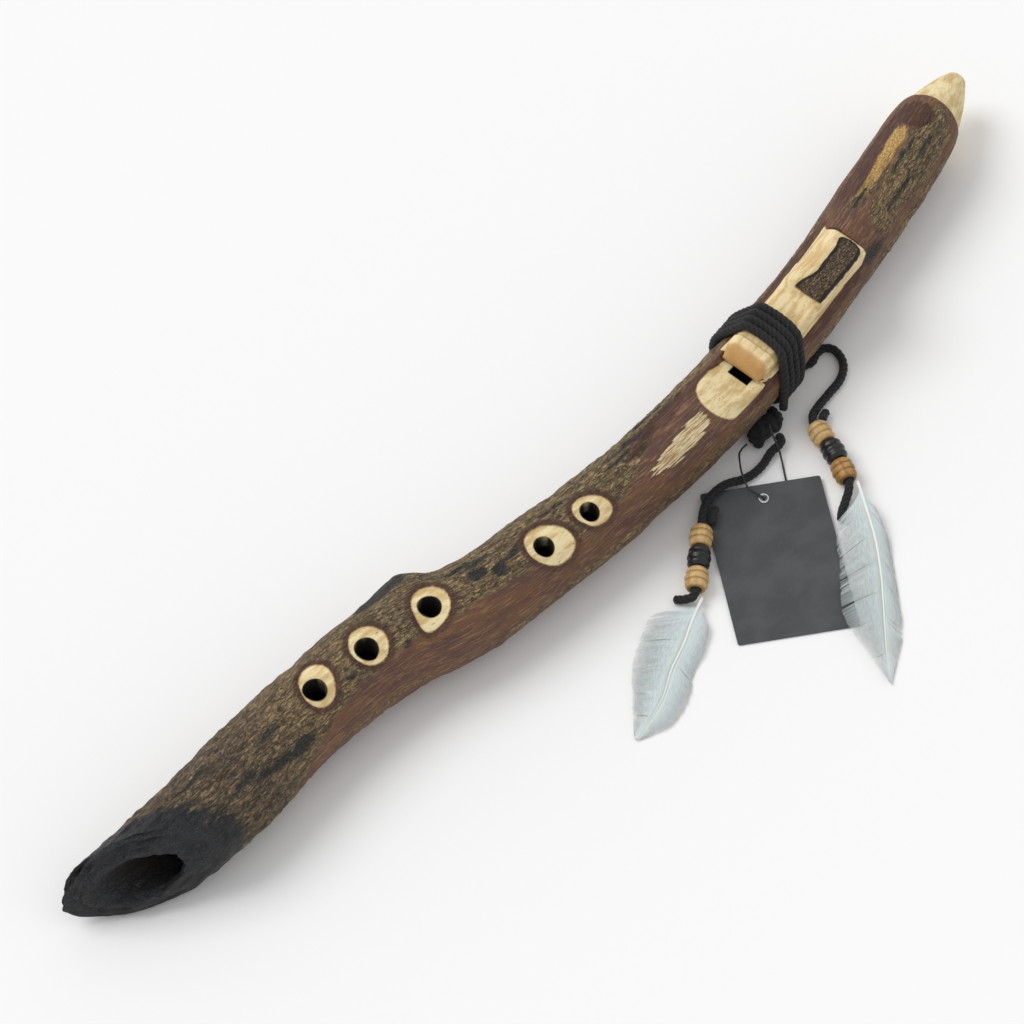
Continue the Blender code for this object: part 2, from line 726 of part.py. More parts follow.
def tail_route(tail):
    """Hand-chosen points of each tail's run over the table, through its beads, to its bare end."""
    first, middle, last = bead_centres(tail)
    if tail == "left":
        start = tie_centre() + Vector((0.0005, -TIE_HALF_WIDTH - 0.0009, 0))
        lead = (
            start,
            start + Vector((-0.0005, -0.0030, -0.0003)),
            Vector((0.0885, -0.0402, 0.0031)),
            Vector((0.0814, -0.0416, TAIL_REST)),
            Vector((0.0742, -0.0415, TAIL_REST)),
            Vector((0.0687, -0.0400, 0.0027)),
            Vector((0.0650, -0.0386, 0.0038)),
            Vector((0.0612, -0.0374, 0.0048)),
            Vector((0.0550, -0.0366, 0.0053)),
            Vector((0.0475, -0.0376, 0.0056)),
            Vector((0.0408, -0.0408, 0.0058)),
        )
        ending = (
            Vector((0.0046, -0.0662, 0.0050)),
            Vector((0.0025, -0.0643, 0.0036)),
            Vector((0.0008, -0.0620, 0.0026)),
            Vector((-0.0010, -0.0596, TAIL_REST)),
        )
    else:
        leaving, heading = lashing_end()
        lead = (
            leaving + heading * (GAP + 0.0001),
            leaving + heading * TAIL_CORD / 2,
            leaving + heading * TAIL_CORD,
            Vector((0.1405, -0.0208, TAIL_REST)),
            Vector((0.1460, -0.0193, TAIL_REST)),
            Vector((0.1505, -0.0198, TAIL_REST)),
            Vector((0.1528, -0.0230, TAIL_REST)),
            Vector((0.1521, -0.0281, TAIL_REST)),
            Vector((0.1484, -0.0333, TAIL_REST)),
            Vector((0.1428, -0.0365, TAIL_REST)),
            Vector((0.1314, -0.0382, TAIL_REST)),
            Vector((0.1215, -0.0398, 0.0032)),
            Vector((0.1162, -0.0418, 0.0047)),
        )
        ending = (
            Vector((0.0952, -0.0806, 0.0046)),
            Vector((0.0908, -0.0826, 0.0032)),
            Vector((0.0862, -0.0846, TAIL_REST)),
            Vector((0.0815, -0.0878, TAIL_REST)),
        )
    _, above, below = MIDDLE_BEADS[tail]
    reach = BEAD_LENGTH / 2 + 0.0010
    entry = first - above.normalized() * reach
    leaving = last + below.normalized() * reach
    return (*lead, entry, first, middle, last, leaving, *ending)


def lashing_end():
    """Where the winding's free end stops, and its level heading there."""
    *_, before, last = lashing_points()
    heading = last - before
    heading.z = 0
    return last, heading.normalized()


def bead(name, centre, heading, mat):
    """Turned wooden bead: three soft rings on a barrel, with a bore for the cord."""
    half = BEAD_LENGTH / 2
    profile = []
    steps = 12
    for i in range(steps + 1):
        z = half * (2 * i / steps - 1)
        barrel = 0.64 + 0.36 * math.sqrt(max(0.0, 1 - (z / half) ** 2))
        ring = 0.035 * math.cos(3 * math.pi * z / half)
        edge = 0.0 if i in (0, steps) else ring
        profile.append((BEAD_RADIUS * min(1.0, barrel * (0.965 + edge)), z))
    profile.append((BEAD_BORE_RADIUS, half))
    profile.append((BEAD_BORE_RADIUS, -half))
    bm = bmesh.new()
    verts = [bm.verts.new((r, 0, z)) for r, z in profile]
    edges = [bm.edges.new((a, b)) for a, b in zip(verts, verts[1:] + verts[:1])]
    bmesh.ops.spin(
        bm, geom=verts + edges, cent=(0, 0, 0), axis=(0, 0, 1), angle=2 * math.pi,
        steps=BEAD_SIDES, use_merge=True,
    )
    obj = mesh_object(name, bm, mat, smooth_angle=50)
    obj.matrix_world = Matrix.Translation(centre) @ heading.to_track_quat("Z", "Y").to_matrix().to_4x4()
    return obj


def thread_tail(tail, bead_materials, cord_material):
    """A tail cord, the short strand folded back above its beads, and the three beads it runs through."""
    route = smooth_route(tail_route(tail), 0.0045)
    cord_object("tail_" + tail, route, TAIL_CORD, cord_material)
    centres = bead_centres(tail)
    _, above, below = MIDDLE_BEADS[tail]
    headings = (above, above + below, below)
    for number, (centre, heading, mat) in enumerate(zip(centres, headings, bead_materials), start=1):
        bead(f"bead_{tail}_{number}", centre, heading.normalized(), mat)
    cord_object("tail_" + tail + "_fold", fold_route(tail), TAIL_CORD, cord_material)


def fold_route(tail):
    """The strand folded back above the first bead lies beside the tail, at a cord's width from its route."""
    fine = smooth_route(tail_route(tail), 0.0005)
    first, _, _ = bead_centres(tail)
    bead_end = first - MIDDLE_BEADS[tail][1].normalized() * (BEAD_LENGTH / 2 + FOLD_CLEARANCE)
    last = int(np.argmin(np.linalg.norm(fine - np.array(bead_end), axis=1)))
    points = []
    for i in range(last - round(FOLD_LENGTH / 0.0005), last + 1, 6):
        heading = Vector(fine[i + 1] - fine[i - 1])
        heading.z = 0
        side = Vector((0, 0, 1)).cross(heading.normalized())
        points.append(Vector(fine[i]) + side * (TAIL_CORD + GAP + 0.0002))
    return points


def tag_frame():
    """Middle of the card's underside at the eyelet. Local x runs along the top edge, local y up to it."""
    along = Vector((math.cos(TAG_TURN), math.sin(TAG_TURN), 0))
    slope = math.asin(TAG_LIFT / TAG_LENGTH)
    flat = Vector((-along.y, along.x, 0))
    across = flat * math.cos(slope) + Vector((0, 0, 1)) * math.sin(slope)
    height = FLOOR_GAP + TAG_LIFT * (TAG_LENGTH - TAG_EYELET_INSET) / TAG_LENGTH
    origin = Vector((*TAG_EYELET_PLACE, height))
    return frame_matrix(origin, along, across, along.cross(across))


def tag_card(mat):
    """Stiff card with slightly rounded corners and a punched hole for the eyelet."""
    top = TAG_EYELET_INSET
    corners = (
        (TAG_WIDTH / 2, top), (-TAG_WIDTH / 2, top),
        (-TAG_WIDTH / 2, top - TAG_LENGTH), (TAG_WIDTH / 2, top - TAG_LENGTH),
    )
    bm = bmesh.new()
    outline = []
    for k, (x, y) in enumerate(corners):
        inward_x = -math.copysign(TAG_CORNER, x)
        inward_y = -TAG_CORNER if k < 2 else TAG_CORNER
        for i in range(4):
            turn = math.pi / 2 * (k + i / 3)
            outline.append((x + inward_x + TAG_CORNER * math.cos(turn), y + inward_y + TAG_CORNER * math.sin(turn)))
    low = [Vector((x, y, 0)) for x, y in outline]
    high = [Vector((x, y, TAG_THICKNESS)) for x, y in outline]
    add_loft(bm, [low, high])
    obj = mesh_object("tag_card", bm, mat, smooth_angle=0)
    obj.matrix_world = tag_frame()
    hole = bmesh.new()
    bmesh.ops.create_cone(
        hole, cap_ends=True, segments=20, radius1=eyelet_barrel() + GAP, radius2=eyelet_barrel() + GAP,
        depth=0.01, matrix=tag_frame(),
    )
    cut(obj, cutter("cut_tag_hole", hole))
    return obj


def eyelet_barrel():
    return (EYELET_BORE_RADIUS + EYELET_RADIUS) / 2


def tag_eyelet(mat):
    """Pressed metal eyelet: a barrel through the card with a rolled flange on its face."""
    face = TAG_THICKNESS + GAP
    profile = (
        (EYELET_BORE_RADIUS, 0.0),
        (eyelet_barrel(), 0.0),
        (eyelet_barrel(), face),
        (EYELET_RADIUS, face),
        (EYELET_RADIUS - 0.0002, face + EYELET_FLANGE),
        (EYELET_BORE_RADIUS + 0.0002, face + EYELET_FLANGE),
        (EYELET_BORE_RADIUS, face),
    )
    bm = bmesh.new()
    verts = [bm.verts.new((r, 0, z)) for r, z in profile]
    edges = [bm.edges.new((a, b)) for a, b in zip(verts, verts[1:] + verts[:1])]
    bmesh.ops.spin(
        bm, geom=verts + edges, cent=(0, 0, 0), axis=(0, 0, 1), angle=2 * math.pi, steps=20, use_merge=True,
    )
    obj = mesh_object("tag_eyelet", bm, mat)
    obj.matrix_world = tag_frame()
    return obj


def string_route():
    """Loop of thin string: from the knot over the tail, through the eyelet, under the card and back."""
    tie = tie_centre()
    eye = Vector(TAG_EYELET_PLACE).to_3d()
    under = FLOOR_GAP + STRING / 2 + 0.0001
    landing = Vector((tie.x - 0.0010, tie.y - 0.0020, 0))
    top = tie_top(landing.x, landing.y) + 0.0005
    return (
        tie + Vector((-TIE_HALF_LENGTH - 0.0006, 0, 0)),
        tie + Vector((-TIE_HALF_LENGTH - 0.0022, 0.0000, 0.0002)),
        Vector((0.0785, -0.0305, 0.0052)),
        Vector((0.0738, -0.0345, 0.0056)),
        Vector((0.0692, -0.0400, 0.0058)),
        Vector((0.0664, -0.0460, 0.0044)),
        eye + Vector((-0.0009, 0.0028, 0.0040)),
        eye + Vector((-0.0001, 0.0005, 0.0030)),
        eye + Vector((0.0001, 0, 0.0018)),
        eye + Vector((0.0004, -0.0009, 0.0010)),
        eye + Vector((0.0014, -0.0032, under)),
        Vector((0.0715, -0.0580, under)),
        Vector((0.0752, -0.0584, under)),
        Vector((0.0812, -0.0557, under)),
        Vector((0.0862, -0.0504, under)),
        Vector((0.0898, -0.0458, 0.0019)),
        Vector((0.0914, -0.0428, 0.0050)),
        Vector((0.0924, -0.0396, 0.0078)),
        Vector((0.0940, -0.0358, 0.0098)),
        landing + Vector((-0.0006, -0.0012, top + 0.0019)),
        landing + Vector((0, 0, top + 0.0009)),
        landing + Vector((0, 0, top)),
    )


def feather(name, spine, vanes, edge_heights, mat):
    """A curled feather as one thin body: two vanes beside a thicker quill.

    The spine is a smooth curve from the quill's bare end to the tip, and the vanes' widths are smooth curves
    along it. Each cross-section falls in an arch from the spine to its two edges.
    """
    places = smooth_route(spine, 0.0048)
    count = len(places)
    stations, first_vane, second_vane = np.array(vanes).T
    across = (-1.0, -0.66, -0.30, -0.08, 0.0, 0.08, 0.30, 0.66, 1.0)
    rings = []
    for i, place in enumerate(places):
        t = i / (count - 1)
        ahead = Vector(places[min(i + 1, count - 1)]) - Vector(places[max(i - 1, 0)])
        ahead.z = 0
        side = Vector((0, 0, 1)).cross(ahead.normalized())
        drop = min(1.0, max(0.0, (t - 0.15) / 0.25))
        upper = []
        lower = []
        for u in across:
            widths = first_vane if u > 0 else second_vane
            width = max(0.0008, float(read_smooth(t, stations, widths)))
            edge = edge_heights[0] if u > 0 else edge_heights[1]
            z = place[2] - (place[2] - edge) * drop * abs(u) ** 1.5
            quill = math.exp(-((u * width / 0.0012) ** 2)) * (1 - 0.8 * t)
            thick = FEATHER_THICKNESS + QUILL_THICKNESS * quill
            point = Vector((place[0], place[1], z)) + side * u * width
            upper.append(point + Vector((0, 0, thick / 2)))
            lower.append(point - Vector((0, 0, thick / 2)))
        rings.append(upper + lower[::-1])
    return loft_object(name, rings, mat)


def build():
    clear_scene()
    bark = material("bark", (0.23, 0.14, 0.08), 0.75)
    pale_wood = material("pale_wood", (0.78, 0.62, 0.38), 0.6)
    black_cord = material("black_cord", (0.012, 0.012, 0.014), 0.85)
    bead_pale = material("bead_pale", (0.72, 0.54, 0.27), 0.5)
    bead_black = material("bead_black", (0.015, 0.015, 0.018), 0.35)
    bead_ochre = material("bead_ochre", (0.55, 0.35, 0.13), 0.5)
    feather_white = material("feather_white", (0.86, 0.88, 0.85), 0.7)
    card = material("card", (0.055, 0.06, 0.062), 0.7)
    steel = material("steel", (0.7, 0.7, 0.7), 0.3, 1.0)
    thread = material("thread", (0.02, 0.02, 0.02), 0.8)

    foot = foot_cutter()
    bore = bore_cutter()
    mouth = mouth_cutter()
    holes, scoops = finger_hole_cutters()
    upper = half_branch("upper_half", True, bark)
    lower = half_branch("lower_half", False, bark)
    cut(upper, foot, bore, mouth, holes, scoops)
    cut(upper, nest_cutter(), ramp_cutter(), window_cutter(), flue_cutter(), air_exit_cutter())
    cut(lower, foot, bore, mouth)

    block(pale_wood)
    lashing(black_cord)
    lashing_knot(black_cord)
    thread_tail("left", (bead_pale, bead_black, bead_pale), black_cord)
    thread_tail("right", (bead_pale, bead_black, bead_ochre), black_cord)
    tag_card(card)
    tag_eyelet(steel)
    cord_object("tag_string", smooth_route(string_route(), 0.0014), STRING, thread)

    feather("feather_left", LEFT_SPINE, LEFT_VANES, LEFT_EDGES, feather_white)
    feather("feather_right", RIGHT_SPINE, RIGHT_VANES, RIGHT_EDGES, feather_white)


build()
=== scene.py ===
# %% [markdown]
# # A branch flute with a tied-on block
# This is a five-hole flute made from a crooked branch: the branch is split, hollowed, glued together again, and
# charred at its foot. A carved block is tied over the window, and the tie's two ends carry beads and feathers.
# The imported model is the fixed frame for everything here. This first cell loads it.
# %% Load the frame
import math

import bpy
import numpy as np
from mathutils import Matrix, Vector


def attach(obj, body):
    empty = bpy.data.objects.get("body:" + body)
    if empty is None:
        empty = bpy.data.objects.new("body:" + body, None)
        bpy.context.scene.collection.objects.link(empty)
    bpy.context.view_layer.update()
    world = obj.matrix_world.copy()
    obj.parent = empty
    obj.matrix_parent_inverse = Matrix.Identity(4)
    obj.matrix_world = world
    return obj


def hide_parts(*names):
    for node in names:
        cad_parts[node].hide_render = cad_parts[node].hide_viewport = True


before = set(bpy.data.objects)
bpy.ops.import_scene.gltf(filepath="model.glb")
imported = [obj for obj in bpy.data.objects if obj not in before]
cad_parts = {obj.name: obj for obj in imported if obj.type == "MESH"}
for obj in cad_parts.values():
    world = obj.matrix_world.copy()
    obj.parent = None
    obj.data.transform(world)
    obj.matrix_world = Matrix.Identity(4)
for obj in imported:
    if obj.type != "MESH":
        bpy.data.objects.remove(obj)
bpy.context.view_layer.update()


# %% [markdown]
# The photograph looks down on the flute from 55 degrees, from beyond its foot. A long lens far away keeps the
# flute's two ends nearly the same size, as they are there.
# %% Camera
CAMERA_AZIMUTH = math.radians(-48.05)
CAMERA_ELEVATION = math.radians(55)
CAMERA_DISTANCE = 2.4
CAMERA_TARGET = Vector((-0.0123, 0.0265, 0.0))
back = Vector((
    math.sin(CAMERA_AZIMUTH) * math.cos(CAMERA_ELEVATION),
    -math.cos(CAMERA_AZIMUTH) * math.cos(CAMERA_ELEVATION),
    math.sin(CAMERA_ELEVATION),
))
camera = bpy.data.objects.new("camera", bpy.data.cameras.new("camera"))
bpy.context.scene.collection.objects.link(camera)
camera.data.lens = 187.5
camera.data.sensor_width = 36
camera.location = CAMERA_TARGET + back * CAMERA_DISTANCE
camera.rotation_mode = "QUATERNION"
camera.rotation_quaternion = (-back).to_track_quat("-Z", "Y")
bpy.context.scene.camera = camera
bpy.context.scene.view_settings.view_transform = "Standard"
print("camera at", [round(value, 3) for value in camera.location])

# %% [markdown]
# Almost every piece is one surface: a grid of points whose rows run along the piece and whose columns run round
# it. These helpers turn such a grid into a closed mesh. Working on whole arrays keeps a grid of a hundred
# thousand points quick, and the signed volume tells whether the faces point outwards.
# %% Surfaces from grids


def signed_volume(points, triangles):
    """Sum of the volumes of the tetrahedra from the origin to each triangle: positive when faces point out."""
    a, b, c = points[triangles[:, 0]], points[triangles[:, 1]], points[triangles[:, 2]]
    return float(np.einsum("ij,ij->i", a, np.cross(b, c)).sum() / 6)


def put_mesh(name, points, quads, triangles=None):
    """A mesh object from arrays of points and faces, turned so that its faces point outwards."""
    if triangles is None:
        triangles = np.empty((0, 3), int)
    halves = np.concatenate([quads[:, [0, 1, 2]], quads[:, [0, 2, 3]], triangles])
    if signed_volume(points, halves) < 0:
        quads, triangles = quads[:, ::-1], triangles[:, ::-1]
    corners = np.concatenate([quads.ravel(), triangles.ravel()]).astype(np.int32)
    sides = np.concatenate([np.full(len(quads), 4), np.full(len(triangles), 3)])
    starts = np.concatenate([[0], np.cumsum(sides)[:-1]]).astype(np.int32)
    mesh = bpy.data.meshes.new(name)
    mesh.vertices.add(len(points))
    mesh.vertices.foreach_set("co", points.astype(np.float32).ravel())
    mesh.loops.add(len(corners))
    mesh.loops.foreach_set("vertex_index", corners)
    mesh.polygons.add(len(sides))
    mesh.polygons.foreach_set("loop_start", starts)
    mesh.update(calc_edges=True)
    mesh.validate()
    obj = bpy.data.objects.new(name, mesh)
    bpy.context.scene.collection.objects.link(obj)
    return obj


def grid_faces(rows, columns, joined_rows=False):
    """Quads of a grid whose last column joins its first, and whose last row may join its first too."""
    index = np.arange(rows * columns).reshape(rows, columns)
    beside = np.roll(index, -1, axis=1)
    if joined_rows:
        above, above_beside = np.roll(index, -1, axis=0), np.roll(beside, -1, axis=0)
    else:
        index, beside, above, above_beside = index[:-1], beside[:-1], index[1:], beside[1:]
    return np.stack([index, beside, above_beside, above], axis=-1).reshape(-1, 4)


def carried_surface(name, grid):
    """A closed piece from a grid: each end row closes with a fan of triangles to its middle."""
    rows, columns, _ = grid.shape
    points = np.concatenate([grid.reshape(-1, 3), grid[:1].mean(axis=1), grid[-1:].mean(axis=1)])
    low = np.arange(columns)
    high = low + (rows - 1) * columns
    start = np.stack([np.roll(low, -1), low, np.full(columns, rows * columns)], axis=1)
    end = np.stack([high, np.roll(high, -1), np.full(columns, rows * columns + 1)], axis=1)
    return put_mesh(name, points, grid_faces(rows, columns), np.concatenate([start, end]))


def set_field(obj, name, values):
    """Stores one number or one vector for each point, for the materials to read."""
    kind = "FLOAT" if values.ndim == 1 else "FLOAT_VECTOR"
    layer = obj.data.attributes.new(name, kind, "POINT")
    layer.data.foreach_set("value" if kind == "FLOAT" else "vector", values.astype(np.float32).ravel())


def shade(obj, sharp_degrees):
    """Smooth shading, broken at edges that turn by more than the given angle."""
    obj.data.shade_smooth()
    obj.data.set_sharp_from_angle(angle=math.radians(sharp_degrees))


def soft_step(low, high, value):
    """0 below low, 1 above high, and a smooth climb between them."""
    t = np.clip((value - low) / (high - low), 0, 1)
    return t * t * (3 - 2 * t)


def value_noise(u, v, cells, seed):
    """Smooth random heights from 0 to 1: seeded values on a lattice, blended between its corners.

    It repeats every `cells` cells in v, so that it closes up where a surface goes round.
    """
    lattice = np.random.default_rng(seed).random((512, cells))
    low_u, low_v = np.floor(u).astype(int), np.floor(v).astype(int)
    part_u, part_v = u - low_u, v - low_v
    part_u, part_v = part_u**2 * (3 - 2 * part_u), part_v**2 * (3 - 2 * part_v)
    here = lattice[low_u % 512, low_v % cells] * (1 - part_v) + lattice[low_u % 512, (low_v + 1) % cells] * part_v
    there = lattice[(low_u + 1) % 512, low_v % cells] * (1 - part_v)
    there += lattice[(low_u + 1) % 512, (low_v + 1) % cells] * part_v
    return here * (1 - part_u) + there * part_u


def read_smooth(x, places, values):
    """Cubic curve through given values, with each slope read from its two neighbours."""
    places, values = np.asarray(places, float), np.asarray(values, float)
    slopes = np.gradient(values, places)
    i = np.clip(np.searchsorted(places, x) - 1, 0, len(places) - 2)
    span = places[i + 1] - places[i]
    t = (x - places[i]) / span
    inside = (2 * t**3 - 3 * t**2 + 1) * values[i] + (3 * t**2 - 2 * t**3) * values[i + 1]
    return inside + span * ((t**3 - 2 * t**2 + t) * slopes[i] + (t**3 - t**2) * slopes[i + 1])


def read_round(degrees, places, values):
    """The same curve through values given round a full turn of 360 degrees."""
    around = np.asarray(places, float)
    values = np.asarray(values, float)
    longer = np.concatenate([around - 360, around, around + 360])
    return read_smooth(np.mod(degrees, 360), longer, np.tile(values, 3))


print("surface helpers ready")

# %% [markdown]
# The branch is a round bar that bends sideways. Its centre line and radius are smooth curves through the same
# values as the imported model's, and a place on it is given by a distance along it, a turn round it and a radius.
# The whole bar is rolled by 10 degrees, so that the finger holes lean a little towards the camera.
# %% The branch's line
BRANCH = np.array([
    (-0.3025, 0.0075, 0.0212), (-0.2550, 0.0075, 0.0212), (-0.2250, 0.0078, 0.0212), (-0.1950, 0.0096, 0.0209),
    (-0.1650, 0.0109, 0.0204), (-0.1350, 0.0101, 0.0208), (-0.1100, 0.0067, 0.0214), (-0.0850, -0.0012, 0.0212),
    (-0.0600, -0.0062, 0.0201), (-0.0300, -0.0096, 0.0194), (0.0000, -0.0120, 0.0190), (0.0300, -0.0132, 0.0184),
    (0.0650, -0.0132, 0.0182), (0.0950, -0.0117, 0.0181), (0.1300, -0.0080, 0.0178), (0.1600, -0.0038, 0.0176),
    (0.1900, 0.0017, 0.0176), (0.2200, 0.0081, 0.0177), (0.2500, 0.0150, 0.0176), (0.2650, 0.0184, 0.0170),
    (0.2760, 0.0209, 0.0149), (0.2880, 0.0237, 0.0110), (0.2960, 0.0257, 0.0076), (0.3015, 0.0270, 0.0048),
])
AXIS_HEIGHT = 0.0217297
ROLL = math.radians(10)
BRANCH_START, BRANCH_END = BRANCH[0, 0], BRANCH[-1, 0]


def branch_radius(x):
    return read_smooth(np.asarray(x, float), BRANCH[:, 0], BRANCH[:, 2])


def branch_centre(x):
    x = np.asarray(x, float)
    y = read_smooth(x, BRANCH[:, 0], BRANCH[:, 1])
    return np.stack([x, y, np.full_like(x, AXIS_HEIGHT)], axis=-1)


def branch_frame(x, roll=ROLL):
    """Centre, heading, side and up at each place, as arrays. Up leans towards -Y by the roll."""
    middle = np.clip(np.asarray(x, float), BRANCH_START + 0.002, BRANCH_END - 0.002)
    ahead = branch_centre(middle + 0.002) - branch_centre(middle - 0.002)
    along = ahead / np.linalg.norm(ahead, axis=-1, keepdims=True)
    left = np.stack([-along[..., 1], along[..., 0], np.zeros_like(along[..., 0])], axis=-1)
    rise = np.array([0.0, 0.0, 1.0])
    up = rise * math.cos(roll) - left * math.sin(roll)
    side = left * math.cos(roll) + rise * math.sin(roll)
    return branch_centre(x), along, side, up


def branch_place(x, turn, radius):
    """Point on the branch: its centre plus the radius in the direction turned from its side towards up."""
    centre, _, side, up = branch_frame(x)
    turn, radius = np.broadcast_to(turn, np.shape(x)), np.broadcast_to(radius, np.shape(x))
    return centre + side * (radius * np.cos(turn))[..., None] + up * (radius * np.sin(turn))[..., None]


def branch_reading(points):
    """The other way round: distance along, turn and radius of points, found by sliding along the centre line."""
    x = points[:, 0].copy()
    for _ in range(5):
        centre, along, side, up = branch_frame(np.clip(x, BRANCH_START - 0.03, BRANCH_END + 0.01))
        x += np.einsum("ij,ij->i", points - centre, along) * along[:, 0]
    away = points - centre
    across, height = np.einsum("ij,ij->i", away, side), np.einsum("ij,ij->i", away, up)
    return x, np.arctan2(height, across), np.hypot(across, height)


print("branch:", len(BRANCH), "stations,", round(float(BRANCH_END - BRANCH_START) * 1000), "mm long")

# %% [markdown]
# The two halves were hollowed before they were glued, so the branch is a tube with a plug in it. One grid can be
# all of it: it starts at the plug, runs down the wall of the sound chamber to the foot, crosses the broken end,
# comes back along the bark to the mouth, and turns inside again through the mouth hole and the air chamber.
# First come the maps that say what each place of the bark is: peeled, whittled, charred or rough. Each map holds
# millimetres, positive inside its area, so that a material can fray the border with noise.
# %% Maps of the bark
KNOT_X, KNOT_TURN = -0.0970, math.radians(18)
NEST_X, NEST_TURN, NEST_HEIGHT, NEST_LENGTH = 0.0990, math.radians(6), 0.0130, 0.0860
WINDOW_LENGTH, WINDOW_WIDTH, WINDOW_OFFSET = 0.0068, 0.0101, -0.0015
RAMP_LENGTH, RAMP_WIDTH, RAMP_EDGE_DROP = 0.0320, 0.0240, 0.0006
FINGER_HOLES = (
    (-0.1598, 0.0102, math.radians(8)),
    (-0.1292, 0.0102, math.radians(10.5)),
    (-0.0948, 0.0102, math.radians(5)),
    (-0.0366, 0.0088, math.radians(17)),
    (-0.0091, 0.0084, math.radians(17)),
)
# Radii in mm of the peeled ring round each hole, every 30 degrees, from the mouth's side towards +Y
RING_RADII = (
    (10.8, 12.7, 12.8, 9.6, 7.2, 6.3, 6.7, 7.9, 9.2, 9.6, 9.6, 9.5),
    (10.9, 11.0, 11.3, 10.7, 8.5, 7.7, 7.4, 7.6, 8.3, 9.1, 10.0, 10.3),
    (9.3, 10.3, 10.9, 10.2, 8.8, 7.8, 7.7, 9.2, 12.7, 10.7, 9.3, 8.9),
    (13.2, 10.9, 10.1, 9.7, 9.4, 8.4, 8.2, 8.2, 9.0, 11.1, 13.5, 15.1),
    (9.8, 8.3, 7.8, 8.1, 8.2, 7.8, 7.2, 6.7, 7.4, 8.3, 9.8, 11.3),
)
# Areas of one kind of bark: place along in mm, turn in degrees, half length and half width in mm
DARK_AREAS = (
    (-69, 78, 5, 3.4), (-60, 90, 3.6, 3.0), (-65, 62, 8, 1.6), (-58, 84, 3, 1.8), (-50, 82, 6, 1.2),
    (-74, 55, 10, 1.6), (-46, 74, 4, 1.2), (-182, 128, 8, 3.2), (-194, 124, 7, 2.2), (-206, 118, 6, 1.6),
    (-215, 108, 7, 1.4), (-190, 88, 9, 1.3), (-230, 60, 12, 1.4), (-144, 108, 2.4, 1.2), (-112, 116, 2.6, 1.3),
    (-108, 28, 12, 5.0), (30, 52, 9, 1.4), (20, 66, 7, 1.2), (45, 30, 12, 1.6), (-20, 60, 6, 1.0),
    (188, 140, 8, 2.6), (222, 118, 12, 1.2), (236, 92, 10, 1.0), (206, 74, 8, 1.0), (248, 112, 8, 1.1),
    (-250, 200, 30, 6.0), (-120, 250, 26, 4.0), (60, 270, 22, 3.6), (170, 230, 20, 3.0),
)
MAROON_AREAS = (
    (62, 54, 34, 3.6), (46, 62, 20, 3.4), (84, 66, 14, 3.0), (100, 142, 9, 2.8), (93, 146, 6, 2.2),
    (186, 139, 9, 3.4), (172, 134, 12, 3.0), (150, 140, 30, 4.0), (232, 44, 34, 5.0), (262, 70, 8, 10.0),
    (214, 56, 16, 2.6), (150, 40, 40, 4.0), (30, 75, 8, 2.2),
)
GOLD_AREAS = ((244, 68, 9, 3.8), (232, 71, 9, 3.2), (221, 72, 8, 2.6), (212, 72, 7, 1.8))
TAN_AREAS = (
    (262, 104, 10, 6.4), (250, 100, 12, 5.6), (236, 104, 16, 6.2), (222, 108, 14, 6.4), (208, 112, 10, 6.2),
    (240, 130, 26, 5.0), (206, 128, 8, 4.0), (222, 78, 14, 2.4), (206, 66, 9, 2.6), (160, 176, 70, 3.2),
    (230, 168, 30, 4.0), (20, 170, 60, 2.8), (-30, 176, 50, 2.4), (70, 164, 30, 2.4), (-140, 172, 30, 2.2),
    (120, 24, 90, 3.0),
)
STREAK_AREAS = ((58, 105, 8, 4.0), (50, 111, 10, 4.8), (40, 113, 9, 4.2), (33, 114, 6, 2.4))
# Turn in degrees at which rough tan bark gives way to smooth reddish bark, along the branch in mm
TAN_LIMIT = (
    (-310, 420), (-230, 400), (-200, 215), (-180, 150), (-165, 134), (-150, 124), (-125, 117), (-101, 112),
    (-88, 108), (-67, 108), (-45, 110), (-20, 118), (2, 116), (14, 106), (30, 84), (50, 54), (80, 40),
    (130, 34), (200, 30), (310, 30),
)
# Edge of the char along the branch in mm, every 30 degrees of turn
CHAR_EDGE = (-272, -262, -246, -236, -230, -226, -230, -240, -250, -262, -272, -276)


def areas_field(x, turn, areas):
    """Millimetres inside the nearest of some ovals: one less the reach to its rim, times its half width."""
    best = np.full(np.shape(x), -30.0)
    radius = branch_radius(np.clip(x, BRANCH_START, BRANCH_END)) * 1000
    for place, degrees, half_length, half_width in areas:
        ahead = (x * 1000 - place) / half_length
        apart = (turn - math.radians(degrees) + math.pi) % (2 * math.pi) - math.pi
        reach = np.hypot(ahead, apart * radius / half_width)
        best = np.maximum(best, (1 - reach) * half_width)
    return best


def ring_field(x, turn):
    """Millimetres inside the peeled ring of the nearest finger hole, from its radii read round it."""
    best = np.full(np.shape(x), -30.0)
    angles = np.arange(0, 360, 30)
    for (place, _, lean), radii in zip(FINGER_HOLES, RING_RADII):
        ahead = (x - place) * 1000
        apart = (turn - (math.pi / 2 + lean - ROLL) + math.pi) % (2 * math.pi) - math.pi
        across = -apart * branch_radius(np.clip(x, BRANCH_START, BRANCH_END)) * 1000
        edge = read_round(np.degrees(np.arctan2(across, ahead)), angles, radii)
        best = np.maximum(best, edge - np.hypot(ahead, across))
    return best


def nest_axes():
    """Origin at the window's block end on the nest, with the nest's along, side and up directions."""
    along = np.array([math.cos(NEST_TURN), math.sin(NEST_TURN), 0.0])
    left = np.array([-along[1], along[0], 0.0])
    rise = np.array([0.0, 0.0, 1.0])
    up = rise * math.cos(ROLL) - left * math.sin(ROLL)
    side = left * math.cos(ROLL) + rise * math.sin(ROLL)
    return branch_centre(NEST_X) + up * NEST_HEIGHT, along, side, up


